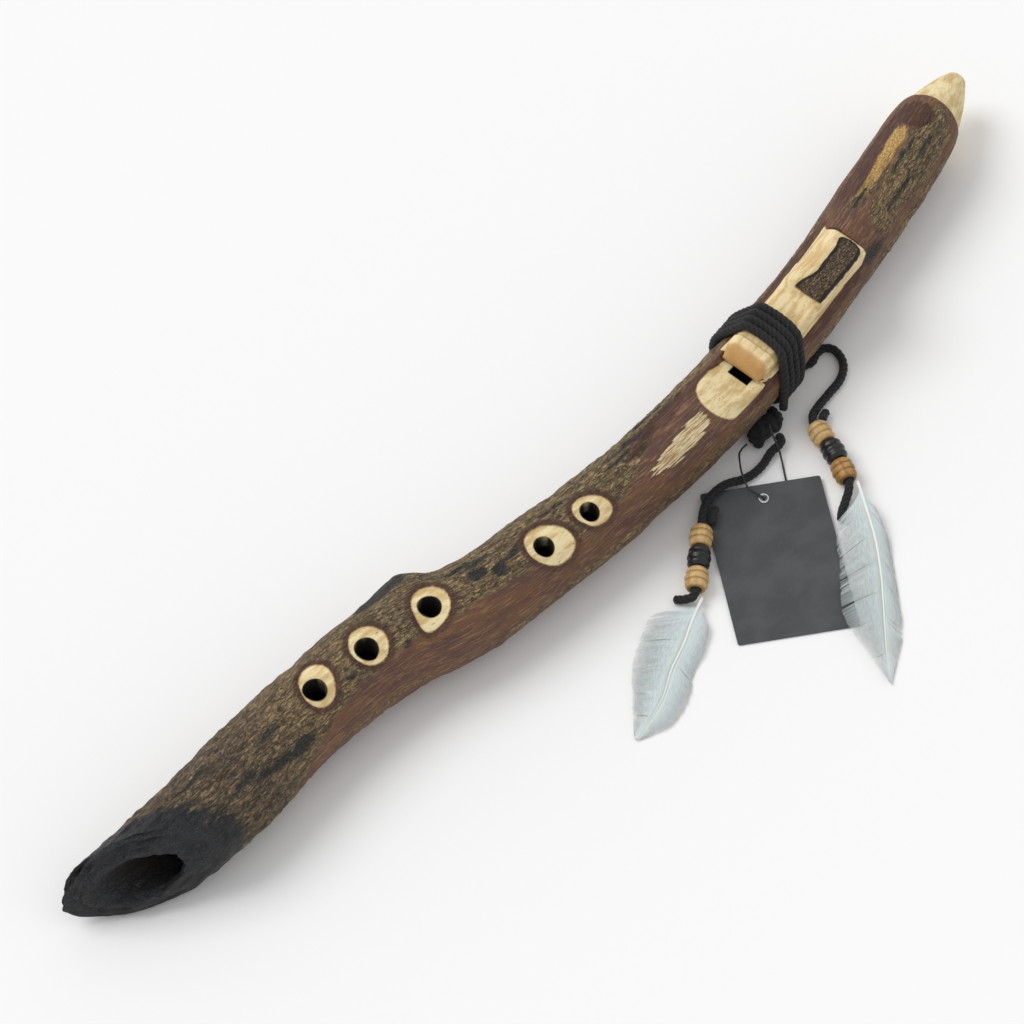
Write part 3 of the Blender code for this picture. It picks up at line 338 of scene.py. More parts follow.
def ramp_field(along, across):
    """Millimetres inside the ramp's outline, a straight-sided strip with a round far end, in nest places."""
    half = RAMP_WIDTH / 2
    straight = -RAMP_LENGTH + half
    beyond = np.minimum(along - straight, 0)
    return (half - np.hypot(beyond, across - WINDOW_OFFSET)) * 1000


def bark_maps(x, turn, points):
    """All the maps at some places of the bark, by name."""
    origin, along, side, up = nest_axes()
    away = points - origin
    ahead, across, height = away @ along, away @ side, away @ up
    ring = ring_field(x, turn)
    streak = areas_field(x, turn, STREAK_AREAS)
    inside_nest = np.minimum(np.minimum(ahead + 0.0001, NEST_LENGTH - ahead) * 1000, (0.0003 - height) * 1000 + 3)
    on_nest = np.where(height < 0.0004, np.minimum(inside_nest, 3.0), -30.0)
    on_nest = np.where((height > -0.0007) & (ahead > -0.001) & (ahead < NEST_LENGTH + 0.001), on_nest, -30.0)
    floor = ramp_floor(ahead)
    on_ramp = np.minimum(ramp_field(ahead, across), (floor + 0.00035 - height) * 4000)
    on_ramp = np.where((ahead < 0.0005) & (height > -0.002), on_ramp, -30.0)
    cone = (x - 0.2735) * 1000 - 2.6 * np.cos(turn - math.radians(75))
    tan_limit = np.radians(np.interp(x * 1000, *np.array(TAN_LIMIT, float).T))
    low_side = np.minimum(np.abs(turn - math.radians(250)), 1.4)
    rough = np.maximum((tan_limit - np.mod(turn, 2 * math.pi)) * 20, (1.1 - low_side) * 20)
    rough = np.where(x > 0.10, np.minimum(rough, 2 - (x - 0.10) * 300), rough)
    char = char_edge(turn) - x * 1000
    return {
        "ring": ring,
        "pale": np.maximum.reduce([ring, on_nest, on_ramp, cone]),
        "ramp": on_ramp,
        "streak": streak,
        "tan": np.maximum(rough, areas_field(x, turn, TAN_AREAS)),
        "dark": areas_field(x, turn, DARK_AREAS),
        "maroon": areas_field(x, turn, MAROON_AREAS),
        "gold": areas_field(x, turn, GOLD_AREAS),
        "char": char,
    }


def ramp_floor(ahead):
    """Height of the ramp's floor over the nest: it falls from the bark to just under the nest at the window."""
    rise = float(branch_radius(NEST_X - RAMP_LENGTH)) - NEST_HEIGHT
    slope = (rise + RAMP_EDGE_DROP) / (RAMP_LENGTH - WINDOW_LENGTH)
    return -RAMP_EDGE_DROP - slope * (ahead + WINDOW_LENGTH)


def char_edge(turn):
    return read_round(np.degrees(turn), np.arange(0, 360, 30), CHAR_EDGE)


print("maps ready:", len(FINGER_HOLES), "rings,", len(DARK_AREAS) + len(MAROON_AREAS) + len(TAN_AREAS), "areas")

# %% [markdown]
# The cord is soft cotton rope of four strands, about 4 mm thick. A curve with a round bevel would be smooth, so
# the rope is a surface instead: its section is the outline of four round strands, and the section turns as it
# goes along the route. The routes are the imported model's own, because the beads and the tag are placed on them.
# %% Rope along a route
STRANDS = 4
STRAND_STEP = 0.0027
ROPE_COLUMNS = 28
ROPE_SPACING = 0.00045


def smooth_route(route, spacing):
    """Evenly spaced points on a smooth curve through the route's own points."""
    corners = np.array(route, float)
    knots = np.concatenate([[0], np.cumsum(np.linalg.norm(np.diff(corners, axis=0), axis=1))])
    fine = np.linspace(0, knots[-1], 800)
    curve = np.stack([read_smooth(fine, knots, corners[:, k]) for k in range(3)], axis=1)
    run = route_run(curve)
    even = np.linspace(0, run[-1], max(4, round(run[-1] / spacing) + 1))
    return np.stack([np.interp(even, run, curve[:, k]) for k in range(3)], axis=1)


def route_run(points):
    """Distance gone along a route at each of its points."""
    return np.concatenate([[0], np.cumsum(np.linalg.norm(np.diff(points, axis=0), axis=1))])


def route_frames(points):
    """Heading, side and up at each point. The side goes from point to point with the least turning."""
    ahead = np.gradient(points, axis=0)
    ahead /= np.linalg.norm(ahead, axis=1, keepdims=True)
    side = np.cross((0.0, 0.0, 1.0), ahead[0])
    if np.linalg.norm(side) < 0.1:
        side = np.cross((1.0, 0.0, 0.0), ahead[0])
    sides = np.empty_like(points)
    for i, heading in enumerate(ahead):
        side = side - heading * (side @ heading)
        side /= np.linalg.norm(side)
        sides[i] = side
    return ahead, sides, np.cross(ahead, sides)


def rope_radius(run, angle, diameter, seed):
    """R = d·cos b + √(r² − d²·sin² b), where b is the angle to the middle of the nearest strand.

    The strands' middles turn once round in the length of all their lumps, and the whole swells a little at random.
    """
    strand, offset = 0.62 * diameter / 2, 0.38 * diameter / 2
    phase = angle - 2 * math.pi * run / (STRANDS * STRAND_STEP)
    nearest = np.mod(phase, 2 * math.pi / STRANDS) - math.pi / STRANDS
    outline = offset * np.cos(nearest) + np.sqrt(strand**2 - (offset * np.sin(nearest)) ** 2)
    swell = value_noise(run / 0.0031, angle / (2 * math.pi) * 4, 4, seed) - 0.5
    return outline * (1 + 0.05 * swell), phase


def rope(name, route, diameter, seed, floor=None, closed=False):
    """A tube of rope along a route. The twist field holds run, angle and strand phase for the material."""
    points = smooth_route(route, ROPE_SPACING)
    if closed:
        points = points[:-1]
    run = route_run(points)[:, None]
    _, side, up = route_frames(points)
    angle = (2 * math.pi * np.arange(ROPE_COLUMNS) / ROPE_COLUMNS)[None, :]
    radius, phase = rope_radius(run, angle, diameter, seed)
    if not closed:
        to_end = np.minimum(run, run[-1] - run) / (0.32 * diameter)
        radius = radius * np.sqrt(1 - (1 - np.clip(to_end, 0.03, 1)) ** 2)
    out = side[:, None] * np.cos(angle)[..., None] + up[:, None] * np.sin(angle)[..., None]
    grid = points[:, None] + out * radius[..., None]
    if floor is not None:
        grid[..., 2] = np.maximum(grid[..., 2], floor)
    twist = np.stack(np.broadcast_arrays(run, angle * diameter / 2, phase), axis=-1).reshape(-1, 3)
    if closed:
        obj = put_mesh(name, grid.reshape(-1, 3), grid_faces(*grid.shape[:2], joined_rows=True))
    else:
        obj = carried_surface(name, grid)
        twist = np.concatenate([twist, twist[:1], twist[-1:]])
    set_field(obj, "twist", twist)
    obj.data.shade_smooth()
    return obj, points


print("rope:", STRANDS, "strands, a lump every", STRAND_STEP * 1000, "mm")

# %% [markdown]
# One cord is wound four times round the branch and the block, which holds the block down over the flue. It rises
# from a knot on the table at the branch's near side and leaves under the branch on the same side.
# %% The lashing
GAP = 0.0003
LASH_CORD = 0.0036
LASH_ROPE = 0.0042
LASH_TURNS, LASH_PITCH, LASH_START, LASH_LEAN = 4, 0.0043, 0.1058, 0.0056
LASH_START_ANGLE, LASH_END_ANGLE, LASH_RUNOFF, LASH_RUNOFF_ANGLE = 80, 155, 0.0080, 60
LASH_SEAT = GAP + 0.00025 + LASH_CORD / 2
SADDLE_HEIGHT, SADDLE_SHOULDER = 0.0064, 0.0030
TAIL_CORD = 0.0041
BLOCK_LENGTH, BLOCK_WIDTH_FRONT, BLOCK_WIDTH_REAR = 0.0840, 0.0225, 0.0214
KNOT_CENTRE = np.array([0.0970, -0.0298, 0.0047])
KNOT_HALF = np.array([0.0122, 0.0056, 0.0044])
KNOT_BULGE = 2.6


def lashing_reach(turn):
    """Distance of the cord from the branch's middle: the bark, or the straight pull and flat over the block."""
    radius = float(branch_radius(LASH_START + LASH_TURNS * LASH_PITCH / 2))
    share = (LASH_START - NEST_X) / BLOCK_LENGTH
    side = (BLOCK_WIDTH_FRONT + (BLOCK_WIDTH_REAR - BLOCK_WIDTH_FRONT) * share) / 2 - SADDLE_SHOULDER / 2
    top = NEST_HEIGHT + GAP + SADDLE_HEIGHT
    shoulder = top - SADDLE_SHOULDER / 2
    pull = math.atan2(side, shoulder) + math.acos(radius / math.hypot(side, shoulder))
    away = np.abs((turn + math.pi) % (2 * math.pi) - math.pi)
    across = (top + LASH_SEAT) / np.maximum(np.cos(away), 0.2)
    slanting = (radius + LASH_SEAT) / np.cos(np.minimum(pull - away, 1.2))
    return np.where(away >= pull, radius + LASH_SEAT, np.minimum(across, slanting))


def knot_top(x, y):
    """Height of the knot's upper side at a place."""
    spread = abs((x - KNOT_CENTRE[0]) / KNOT_HALF[0]) ** KNOT_BULGE
    spread += abs((y - KNOT_CENTRE[1]) / KNOT_HALF[1]) ** KNOT_BULGE
    return KNOT_CENTRE[2] + KNOT_HALF[2] * max(0.0, 1 - spread) ** (1 / KNOT_BULGE)


def lashing_route():
    """Up from the knot, round the branch and the block four times, and off under the branch."""
    _, along, side, up = nest_axes()
    total = math.radians(360 * LASH_TURNS - (LASH_END_ANGLE - LASH_START_ANGLE))
    wound = np.linspace(0, total, 130)
    turn = math.radians(LASH_START_ANGLE) - wound
    lean = LASH_LEAN * np.maximum(0, np.cos(turn)) ** 2
    runoff = np.maximum(0, 1 - np.degrees(total - wound) / LASH_RUNOFF_ANGLE) ** 2
    x = LASH_START + LASH_PITCH * wound / (2 * math.pi) + lean + LASH_RUNOFF * runoff
    out = up * np.cos(turn)[:, None] - side * np.sin(turn)[:, None]
    winding = branch_centre(x) + out * lashing_reach(turn)[:, None]
    reach = LASH_CORD / 2
    foot = np.array([*winding[0, :2], knot_top(winding[0, 0] - reach, winding[0, 1] + reach / 2) + GAP])
    square = foot + (0, 0, LASH_CORD)
    heading = (winding[-1] - winding[-2]) * (1, 1, 0)
    heading /= np.linalg.norm(heading)
    leaving = winding[-1] + heading * LASH_CORD
    leaving[2] = TAIL_CORD / 2 + GAP
    return np.concatenate([[foot, square, (square + winding[0]) / 2], winding, [leaving]]), heading


winding_route, leaving_heading = lashing_route()
lashing, lashing_line = rope("lashing_rope", winding_route, LASH_ROPE, 5, floor=0.0001)
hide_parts("lashing")
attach(lashing, "flute")
print("lashing:", round(route_run(lashing_line)[-1] * 1000), "mm of cord")

# %% [markdown]
# The knot is two wraps over a lump of cord. Each wrap is a closed loop of the same rope, flattened to the lump's
# rounded box. From above it's a dark heap, and only the wraps' lumps catch light.
# %% The knot


def wrap_route(lean, shift, width):
    """Loop round the lump: a rounded box in y and z whose place along x leans to and fro once a turn."""
    angle = np.linspace(0, 2 * math.pi, 49)
    grow = (np.abs(np.cos(angle)) ** KNOT_BULGE + np.abs(np.sin(angle)) ** KNOT_BULGE) ** (-1 / KNOT_BULGE)
    x = shift + lean * np.cos(angle - 0.6)
    y = width * KNOT_HALF[1] * np.cos(angle) * grow
    z = width * KNOT_HALF[2] * np.sin(angle) * grow
    return KNOT_CENTRE + np.stack([x, y, z], axis=1)


theta = np.linspace(0.02, math.pi - 0.02, 40)[:, None]
phi = (2 * math.pi * np.arange(72) / 72)[None, :]
directions = np.stack(np.broadcast_arrays(np.cos(theta), np.sin(theta) * np.cos(phi), np.sin(theta) * np.sin(phi)), -1)
grow = (np.abs(directions) ** KNOT_BULGE).sum(-1) ** (-1 / KNOT_BULGE)
ridges = 0.80 + 0.07 * np.abs(np.cos(2.6 * math.pi * (directions[..., 0] + 0.5 * directions[..., 2])))
knot_core = carried_surface("knot_core", KNOT_CENTRE + directions * (grow * ridges)[..., None] * KNOT_HALF)
core_places = np.concatenate([directions.reshape(-1, 3), directions[0, :1], directions[-1, :1]])
set_field(knot_core, "twist", core_places * (KNOT_HALF[0], KNOT_HALF[1], 3))
knot_core.data.shade_smooth()
wraps = [
    rope(f"knot_wrap_{i}", wrap_route(lean, shift, 0.72), 0.0032, 60 + i, floor=GAP, closed=True)[0]
    for i, (lean, shift) in enumerate(((0.0032, -0.0052), (-0.0026, 0.0008), (0.0022, 0.0062)))
]
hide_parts("lashing_knot")
for piece in (knot_core, *wraps):
    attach(piece, "flute")
print("knot:", len(wraps), "wraps over a lump", round(KNOT_HALF[0] * 2000, 1), "mm long")

# %% [markdown]
# Two tails leave the tie. Each lies on the table in a loose bend, goes through three beads and ends bare beside a
# feather. Above its first bead the cord is doubled by a short strand folded back, which keeps the bead from
# sliding up.
# %% The tails
TAIL_REST, BEAD_REST = TAIL_CORD / 2 + GAP, 0.0055 + GAP
BEAD_LENGTH, BEAD_PITCH = 0.0109, 0.01145
FOLD_LENGTH, FOLD_CLEARANCE = 0.0120, 0.0018
MIDDLE_BEADS = {
    "left": ((0.0216, -0.0552, BEAD_REST), (-0.80, -0.60, 0), (-0.81, -0.585, 0)),
    "right": ((0.1066, -0.0623, BEAD_REST), (-0.34, -0.94, 0), (-0.46, -0.888, 0)),
}
tie_start = KNOT_CENTRE + (0.0005, -KNOT_HALF[1] - 0.0009, 0)
leaving = winding_route[-1]
TAIL_LEADS = {
    "left": (
        tie_start, tie_start + (-0.0005, -0.0030, -0.0003), (0.0885, -0.0402, 0.0031),
        (0.0814, -0.0416, TAIL_REST), (0.0742, -0.0415, TAIL_REST), (0.0687, -0.0400, 0.0027),
        (0.0650, -0.0386, 0.0038), (0.0612, -0.0374, 0.0048), (0.0550, -0.0366, 0.0053),
        (0.0475, -0.0376, 0.0056), (0.0408, -0.0408, 0.0058),
    ),
    "right": (
        leaving + leaving_heading * (GAP + 0.0001), leaving + leaving_heading * TAIL_CORD / 2,
        leaving + leaving_heading * TAIL_CORD, (0.1405, -0.0208, TAIL_REST), (0.1460, -0.0193, TAIL_REST),
        (0.1505, -0.0198, TAIL_REST), (0.1528, -0.0230, TAIL_REST), (0.1521, -0.0281, TAIL_REST),
        (0.1484, -0.0333, TAIL_REST), (0.1428, -0.0365, TAIL_REST), (0.1314, -0.0382, TAIL_REST),
        (0.1215, -0.0398, 0.0032), (0.1162, -0.0418, 0.0047),
    ),
}
TAIL_ENDINGS = {
    "left": ((0.0046, -0.0662, 0.0050), (0.0025, -0.0643, 0.0036), (0.0008, -0.0620, 0.0026),
             (-0.0010, -0.0596, TAIL_REST)),
    "right": ((0.0952, -0.0806, 0.0046), (0.0908, -0.0826, 0.0032), (0.0862, -0.0846, TAIL_REST),
              (0.0815, -0.0878, TAIL_REST)),
}


def unit(vector):
    vector = np.array(vector, float)
    return vector / np.linalg.norm(vector)


def bead_places(tail):
    """The three beads of a tail: each one's centre and the direction of its bore."""
    middle, above, below = (np.array(value) for value in MIDDLE_BEADS[tail])
    first, last = middle - unit(above) * BEAD_PITCH, middle + unit(below) * BEAD_PITCH
    return (first, unit(above)), (middle, unit(above + below)), (last, unit(below))


def tail_route(tail):
    (first, above), (middle, _), (last, below) = bead_places(tail)
    reach = BEAD_LENGTH / 2 + 0.0010
    threaded = (first - above * reach, first, middle, last, last + below * reach)
    return np.array([*TAIL_LEADS[tail], *threaded, *TAIL_ENDINGS[tail]], float)


def fold_route(tail):
    """The strand folded back lies beside the tail, just above its first bead."""
    fine = smooth_route(tail_route(tail), 0.0005)
    first, above = bead_places(tail)[0]
    bead_end = first - above * (BEAD_LENGTH / 2 + FOLD_CLEARANCE)
    last = int(np.argmin(np.linalg.norm(fine - bead_end, axis=1)))
    steps = np.arange(last - round(FOLD_LENGTH / 0.0005), last + 1, 6)
    heading = (fine[steps + 1] - fine[steps - 1]) * (1, 1, 0)
    side = np.cross((0, 0, 1), heading / np.linalg.norm(heading, axis=1, keepdims=True))
    return fine[steps] + side * (TAIL_CORD + GAP + 0.0002)


tails, folds, tail_lines = {}, {}, {}
for tail in ("left", "right"):
    tails[tail], tail_lines[tail] = rope("tail_rope_" + tail, tail_route(tail), TAIL_CORD, 7, floor=0.0001)
    folds[tail], _ = rope("fold_rope_" + tail, fold_route(tail), TAIL_CORD, 8, floor=0.0001)
    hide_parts("tail_" + tail)
    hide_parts(f"tail_{tail}_fold")
    for piece in (tails[tail], folds[tail]):
        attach(piece, "flute")
    print("tail", tail, "is", round(route_run(tail_lines[tail])[-1] * 1000, 1), "mm long")

# %% [markdown]
# The swing tag hangs on a loop of thin waxed string, which goes from the knot through the eyelet and back. A
# string this thin shows no strands, so a curve with a round bevel is enough.
# %% The string
STRING, STRING_LENGTH = 0.0009, 0.085
TAG_EYE = np.array([0.0677, -0.0539, 0.0])


def string_route():
    under = GAP + STRING / 2 + 0.0001
    landing = KNOT_CENTRE * (1, 1, 0) + (-0.0010, -0.0020, 0)
    top = knot_top(*landing[:2]) + 0.0005
    return np.array([
        KNOT_CENTRE + (-KNOT_HALF[0] - 0.0006, 0, 0), KNOT_CENTRE + (-KNOT_HALF[0] - 0.0022, 0, 0.0002),
        (0.0785, -0.0305, 0.0052), (0.0738, -0.0345, 0.0056), (0.0692, -0.0400, 0.0058), (0.0664, -0.0460, 0.0044),
        TAG_EYE + (-0.0009, 0.0028, 0.0040), TAG_EYE + (-0.0001, 0.0005, 0.0030), TAG_EYE + (0.0001, 0, 0.0018),
        TAG_EYE + (0.0004, -0.0009, 0.0010), TAG_EYE + (0.0014, -0.0032, under), (0.0715, -0.0580, under),
        (0.0752, -0.0584, under), (0.0812, -0.0557, under), (0.0862, -0.0504, under), (0.0898, -0.0458, 0.0019),
        (0.0914, -0.0428, 0.0050), (0.0924, -0.0396, 0.0078), (0.0940, -0.0358, 0.0098),
        landing + (-0.0006, -0.0012, top + 0.0019), landing + (0, 0, top + 0.0009), landing + (0, 0, top),
    ])


string_line = smooth_route(string_route(), 0.0007)
curve = bpy.data.curves.new("tag_loop", "CURVE")
curve.dimensions = "3D"
curve.bevel_depth, curve.bevel_resolution, curve.use_fill_caps = STRING / 2, 3, True
spline = curve.splines.new("POLY")
spline.points.add(len(string_line) - 1)
spline.points.foreach_set("co", np.column_stack([string_line, np.ones(len(string_line))]).ravel())
string = bpy.data.objects.new("tag_loop", curve)
bpy.context.scene.collection.objects.link(string)
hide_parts("tag_string")
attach(string, "flute")
print("string is", round(route_run(string_line)[-1] * 1000, 1), "mm long")

# %% [markdown]
# The bark's relief follows the same maps. Rough bark is ridged noise drawn out along the branch, with cracks
# between the ridges. It fades on the smooth reddish skin and stops where the bark is peeled. The flat that the
# block sits on and the ramp are planes, so there the radius is only as long as the plane allows.
# %% The branch's skin
PEEL_DEPTH = 0.0009


def ridge_noise(x, turn, length, width, seed):
    """Noise folded at its middle into sharp crests, in cells of about the given length and width in metres."""
    cells = max(3, round(2 * math.pi * 0.020 / width))
    drift = value_noise(x / (3 * length), turn / (2 * math.pi) * 9, 9, seed + 50)
    around = turn / (2 * math.pi) * cells + 1.6 * drift
    return 1 - np.abs(2 * value_noise(x / length, around, cells, seed) - 1)


def bark_relief(x, turn, maps):
    """Height of the bark over the plain bar: broad waves everywhere, and crests and cracks where it is rough."""
    broad = value_noise(x / 0.035, turn / (2 * math.pi) * 4, 4, 3) - 0.5
    middle = value_noise(x / 0.012, turn / (2 * math.pi) * 9, 9, 4) - 0.5
    coarse = ridge_noise(x, turn, 0.011, 0.0032, 11)
    fine = ridge_noise(x, turn, 0.0055, 0.0019, 12)
    crossing = value_noise(x / 0.0023, turn / (2 * math.pi) * 48, 48, 13)
    rough = soft_step(-3, 3, maps["tan"])
    foot = soft_step(-0.12, -0.23, x)
    charred = soft_step(0, 12, maps["char"])
    strength = (0.16 + 0.55 * rough + 0.35 * foot) * (1 - 0.45 * charred)
    height = 0.0011 * (coarse - 0.62) + 0.0007 * (fine - 0.6) + 0.0004 * (crossing - 0.5)
    sunk = -0.0005 * soft_step(-0.5, 1.5, maps["dark"]) - 0.0004 * soft_step(-0.5, 1.5, maps["maroon"])
    lifted = 0.0007 * soft_step(-1, 2, maps["tan"]) * soft_step(0.19, 0.21, x)
    return 0.0009 * broad + 0.0006 * middle + strength * height + sunk + lifted


def skin_radius(x, turn):
    """Radius of the finished branch: bark relief over the bar, less the peeled places and the flat cuts."""
    plain = branch_radius(x)
    away = ((x - KNOT_X) / 0.0110) ** 2 + (((turn - KNOT_TURN + math.pi) % (2 * math.pi) - math.pi) / 0.45) ** 2
    swelling = 0.0055 * np.exp(-away)
    points = branch_place(x, turn, plain)
    maps = bark_maps(x, turn, points)
    bare = np.maximum(maps["ring"], (x - 0.2735) * 1000 - 2.6 * np.cos(turn - math.radians(75)))
    peeled = soft_step(-0.7, 0.9, bare)
    scraped = soft_step(-0.6, 0.8, np.maximum(maps["streak"], maps["gold"]))
    ends = soft_step(BRANCH_END, BRANCH_END - 0.03, x)
    relief = bark_relief(x, turn, maps) * (1 - peeled) * (1 - 0.7 * scraped)
    whittled = 0.00025 * (value_noise(x / 0.016, turn / (2 * math.pi) * 11, 11, 21) - 0.5)
    radius = plain + swelling + relief + peeled * (whittled - PEEL_DEPTH * ends) - 0.0003 * scraped
    return flat_cuts(x, turn, radius)


def flat_cuts(x, turn, radius):
    """The radius kept under the nest's flat and the ramp's floor, where a place lies over them."""
    origin, along, side, up = nest_axes()
    centre, _, _, _ = branch_frame(x)
    out = branch_place(x, turn, np.ones_like(x)) - centre
    for _ in range(2):
        points = centre + out * radius[..., None]
        away = points - origin
        ahead, across = away @ along, away @ side
        lean = np.maximum(out @ up, 1e-4)
        facing = out @ up > 0.2
        to_nest = ((origin - centre) @ up) / lean
        groove = 0.00012 * (value_noise(ahead / 0.02, across / 0.0011 + 40, 97, 31) - 0.5)
        over_nest = facing & (ahead > -0.0002) & (ahead < NEST_LENGTH)
        to_ramp = ((origin - centre) @ up + ramp_floor(ahead)) / lean
        scoop = soft_step(-0.6, 0.8, ramp_field(ahead, across))
        over_ramp = facing & (ahead <= 0.0) & (ahead > -RAMP_LENGTH - 0.004)
        cut_radius = np.minimum(radius, to_ramp + groove)
        radius = np.where(over_ramp, radius + (cut_radius - radius) * scoop, radius)
        radius = np.where(over_nest, np.minimum(radius, to_nest + groove), radius)
    return radius


print("skin radius at the nest", round(float(skin_radius(np.array([0.14]), np.array([1.57]))[0]) * 1000, 2), "mm")

# %% [markdown]
# The foot was broken off on a slant and burnt. Bark breaks first and stands back, and the wood under it breaks
# in steps that reach further, so the break's place along the branch depends on the depth under the bark as well
# as on the slant. Noise stretched across the steps splits them into chips.
# %% The broken foot
FOOT_POINT = (-0.2755, 0.0100, 0.0200)


def break_place(turn, radius):
    """Distance along at which the break meets a given turn and radius: the slanting plane, stepped and chipped."""
    depth = (float(branch_radius(BRANCH_START)) - radius) * 1000
    degrees = np.degrees(turn)
    wander = value_noise(degrees / 360 * 11, np.full_like(degrees, 0.5), 3, 41)
    wander = wander * soft_step(0, 40, degrees % 360) * soft_step(360, 320, degrees % 360)
    layered = depth + 3.0 * (wander - 0.5)
    recess = 0.0046 * soft_step(2.2, 1.0, layered) + 0.0016 * soft_step(5.4, 4.0, layered)
    recess = recess - 0.0016 * soft_step(6.2, 8.6, layered) + 0.0052 * soft_step(9.0, 11.5, depth)
    splinter = value_noise(depth / 3.1, turn / (2 * math.pi) * 19, 19, 42) - 0.5
    fine = value_noise(depth / 1.2, turn / (2 * math.pi) * 47, 47, 43) - 0.5
    x = np.full_like(turn, FOOT_POINT[0])
    for _ in range(5):
        place = branch_place(np.clip(x, BRANCH_START - 0.02, 0), turn, radius)
        slant = -1.44 * (place[..., 1] - FOOT_POINT[1]) + 0.50 * (place[..., 2] - FOOT_POINT[2])
        x = FOOT_POINT[0] + slant + recess + 0.0042 * splinter + 0.0016 * fine
    return np.maximum(x, BRANCH_START + 0.0004)


# %% [markdown]
# Now the whole tube. The rows near the foot start at the slanting break and even out further up, so that every
# row still runs once round the branch. The finger holes, the window, the flue and the air exit are cut out by
# Booleans, which leave the crisp rims that a grid can't.
# %% The hollow branch
COLUMNS = 132
BORE = 0.0100
PLUG_LENGTH, AIR_CHAMBER_END, MOUTH_HOLE = 0.0220, 0.2660, 0.0035
FLUE_WIDTH, FLUE_DEPTH, AIR_EXIT_LENGTH = 0.0092, 0.0010, 0.0060

around = 2 * math.pi * np.arange(COLUMNS) / COLUMNS
outer = np.full(COLUMNS, float(branch_radius(BRANCH_START)) - 0.0004)
rim = break_place(around, outer)
inner_rim = break_place(around, np.full(COLUMNS, BORE))


def tube_rows(starts, ends, count, first=0.0):
    """Rows from one place along to another, evenly spaced in each column."""
    share = np.linspace(first, 1, count)[:, None]
    return starts + (ends - starts) * share


bore_x = tube_rows(np.full(COLUMNS, NEST_X - 0.0006), inner_rim, 62)
bore_rows = branch_place(bore_x, around[None, :], np.full_like(bore_x, BORE))
face_radius = BORE + (outer - BORE) * np.linspace(0, 1, 20)[1:-1, None]
face_x = break_place(np.broadcast_to(around, face_radius.shape).copy(), face_radius)
face_rows = branch_place(face_x, around[None, :], face_radius)
levelled = np.full(COLUMNS, -0.1900)
skin_x = np.concatenate([
    tube_rows(rim, levelled, 84),
    tube_rows(levelled, np.full(COLUMNS, BRANCH_END), 466)[1:],
])
skin_turn = np.broadcast_to(around, skin_x.shape).copy()
skin_rows = branch_place(skin_x, skin_turn, skin_radius(skin_x, skin_turn))
mouth_x = np.concatenate([np.full((1, COLUMNS), BRANCH_END + 0.0006), np.full((1, COLUMNS), BRANCH_END + 0.0004)])
mouth_radius = np.array([[0.0042], [MOUTH_HOLE]]) + np.zeros(COLUMNS)
mouth_rows = branch_place(mouth_x, around[None, :], mouth_radius)
inside_x = np.concatenate([
    tube_rows(np.full(COLUMNS, BRANCH_END - 0.001), np.full(COLUMNS, AIR_CHAMBER_END), 6),
    tube_rows(np.full(COLUMNS, AIR_CHAMBER_END - 0.0005), np.full(COLUMNS, NEST_X + PLUG_LENGTH), 26),
])
inside_radius = np.concatenate([np.full((6, COLUMNS), MOUTH_HOLE), np.full((26, COLUMNS), BORE)])
inside_rows = branch_place(inside_x, around[None, :], inside_radius)
grid = np.concatenate([bore_rows, face_rows, skin_rows, mouth_rows, inside_rows])
branch = carried_surface("branch", grid)


def box_points(low, high):
    """Eight corners of a box in the nest's along, side and up."""
    origin, along, side, up = nest_axes()
    corners = np.array([(x, y, z) for x in (low[0], high[0]) for y in (low[1], high[1]) for z in (low[2], high[2])])
    return origin + corners @ np.stack([along, side, up])


BOX_QUADS = np.array([(0, 1, 3, 2), (4, 6, 7, 5), (0, 4, 5, 1), (2, 3, 7, 6), (0, 2, 6, 4), (1, 5, 7, 3)])


def hole_tool(name, place, diameter, lean):
    """Upright cutter for one finger hole: a burnt hole is nearly round, so its radius wanders a little."""
    centre, _, _, up = branch_frame(np.array([place]), lean)
    middle = centre[0] + up[0] * float(branch_radius(place))
    turns = 2 * math.pi * np.arange(40) / 40
    wander = 1 + 0.05 * np.cos(2 * turns + place * 900) + 0.03 * np.cos(3 * turns + place * 400)
    wander = wander + 0.015 * np.cos(7 * turns + place * 100)
    heights = np.array([AXIS_HEIGHT + 0.0010, middle[2] - 0.004, middle[2] - 0.0012, middle[2] + 0.004])
    widths = np.array([1.0, 1.0, 1.02, 1.12]) * diameter / 2
    ring = np.stack([np.cos(turns) * wander, np.sin(turns) * wander], axis=-1)
    rows = middle[:2] + ring[None] * widths[:, None, None]
    return carried_surface(name, np.dstack([rows, np.broadcast_to(heights[:, None], rows.shape[:2])]))


tools = [hole_tool(f"hole_tool_{i}", *hole) for i, hole in enumerate(FINGER_HOLES)]
half, flue = WINDOW_WIDTH / 2, FLUE_WIDTH / 2
exit_start = PLUG_LENGTH + 0.001
exit_end = exit_start + AIR_EXIT_LENGTH
for name, low, high in (
    ("window_tool", (-WINDOW_LENGTH, WINDOW_OFFSET - half, -NEST_HEIGHT), (0, WINDOW_OFFSET + half, 0.01)),
    ("flue_tool", (-0.003, WINDOW_OFFSET - flue, -FLUE_DEPTH), (exit_end, WINDOW_OFFSET + flue, 0.01)),
    ("exit_tool", (exit_start, WINDOW_OFFSET - flue + 0.0006, -0.0125), (exit_end, WINDOW_OFFSET + flue - 0.0006, 0.01)),
):
    tools.append(put_mesh(name, box_points(low, high), BOX_QUADS))
for tool in tools:
    cut = branch.modifiers.new(tool.name, "BOOLEAN")
    cut.operation, cut.solver, cut.object = "DIFFERENCE", "MANIFOLD", tool
graph = bpy.context.evaluated_depsgraph_get()
carved = bpy.data.meshes.new_from_object(branch.evaluated_get(graph))
branch.modifiers.clear()
branch.data = carved
carved.name = "branch"
for tool in tools:
    bpy.data.objects.remove(tool)
shade(branch, 52)
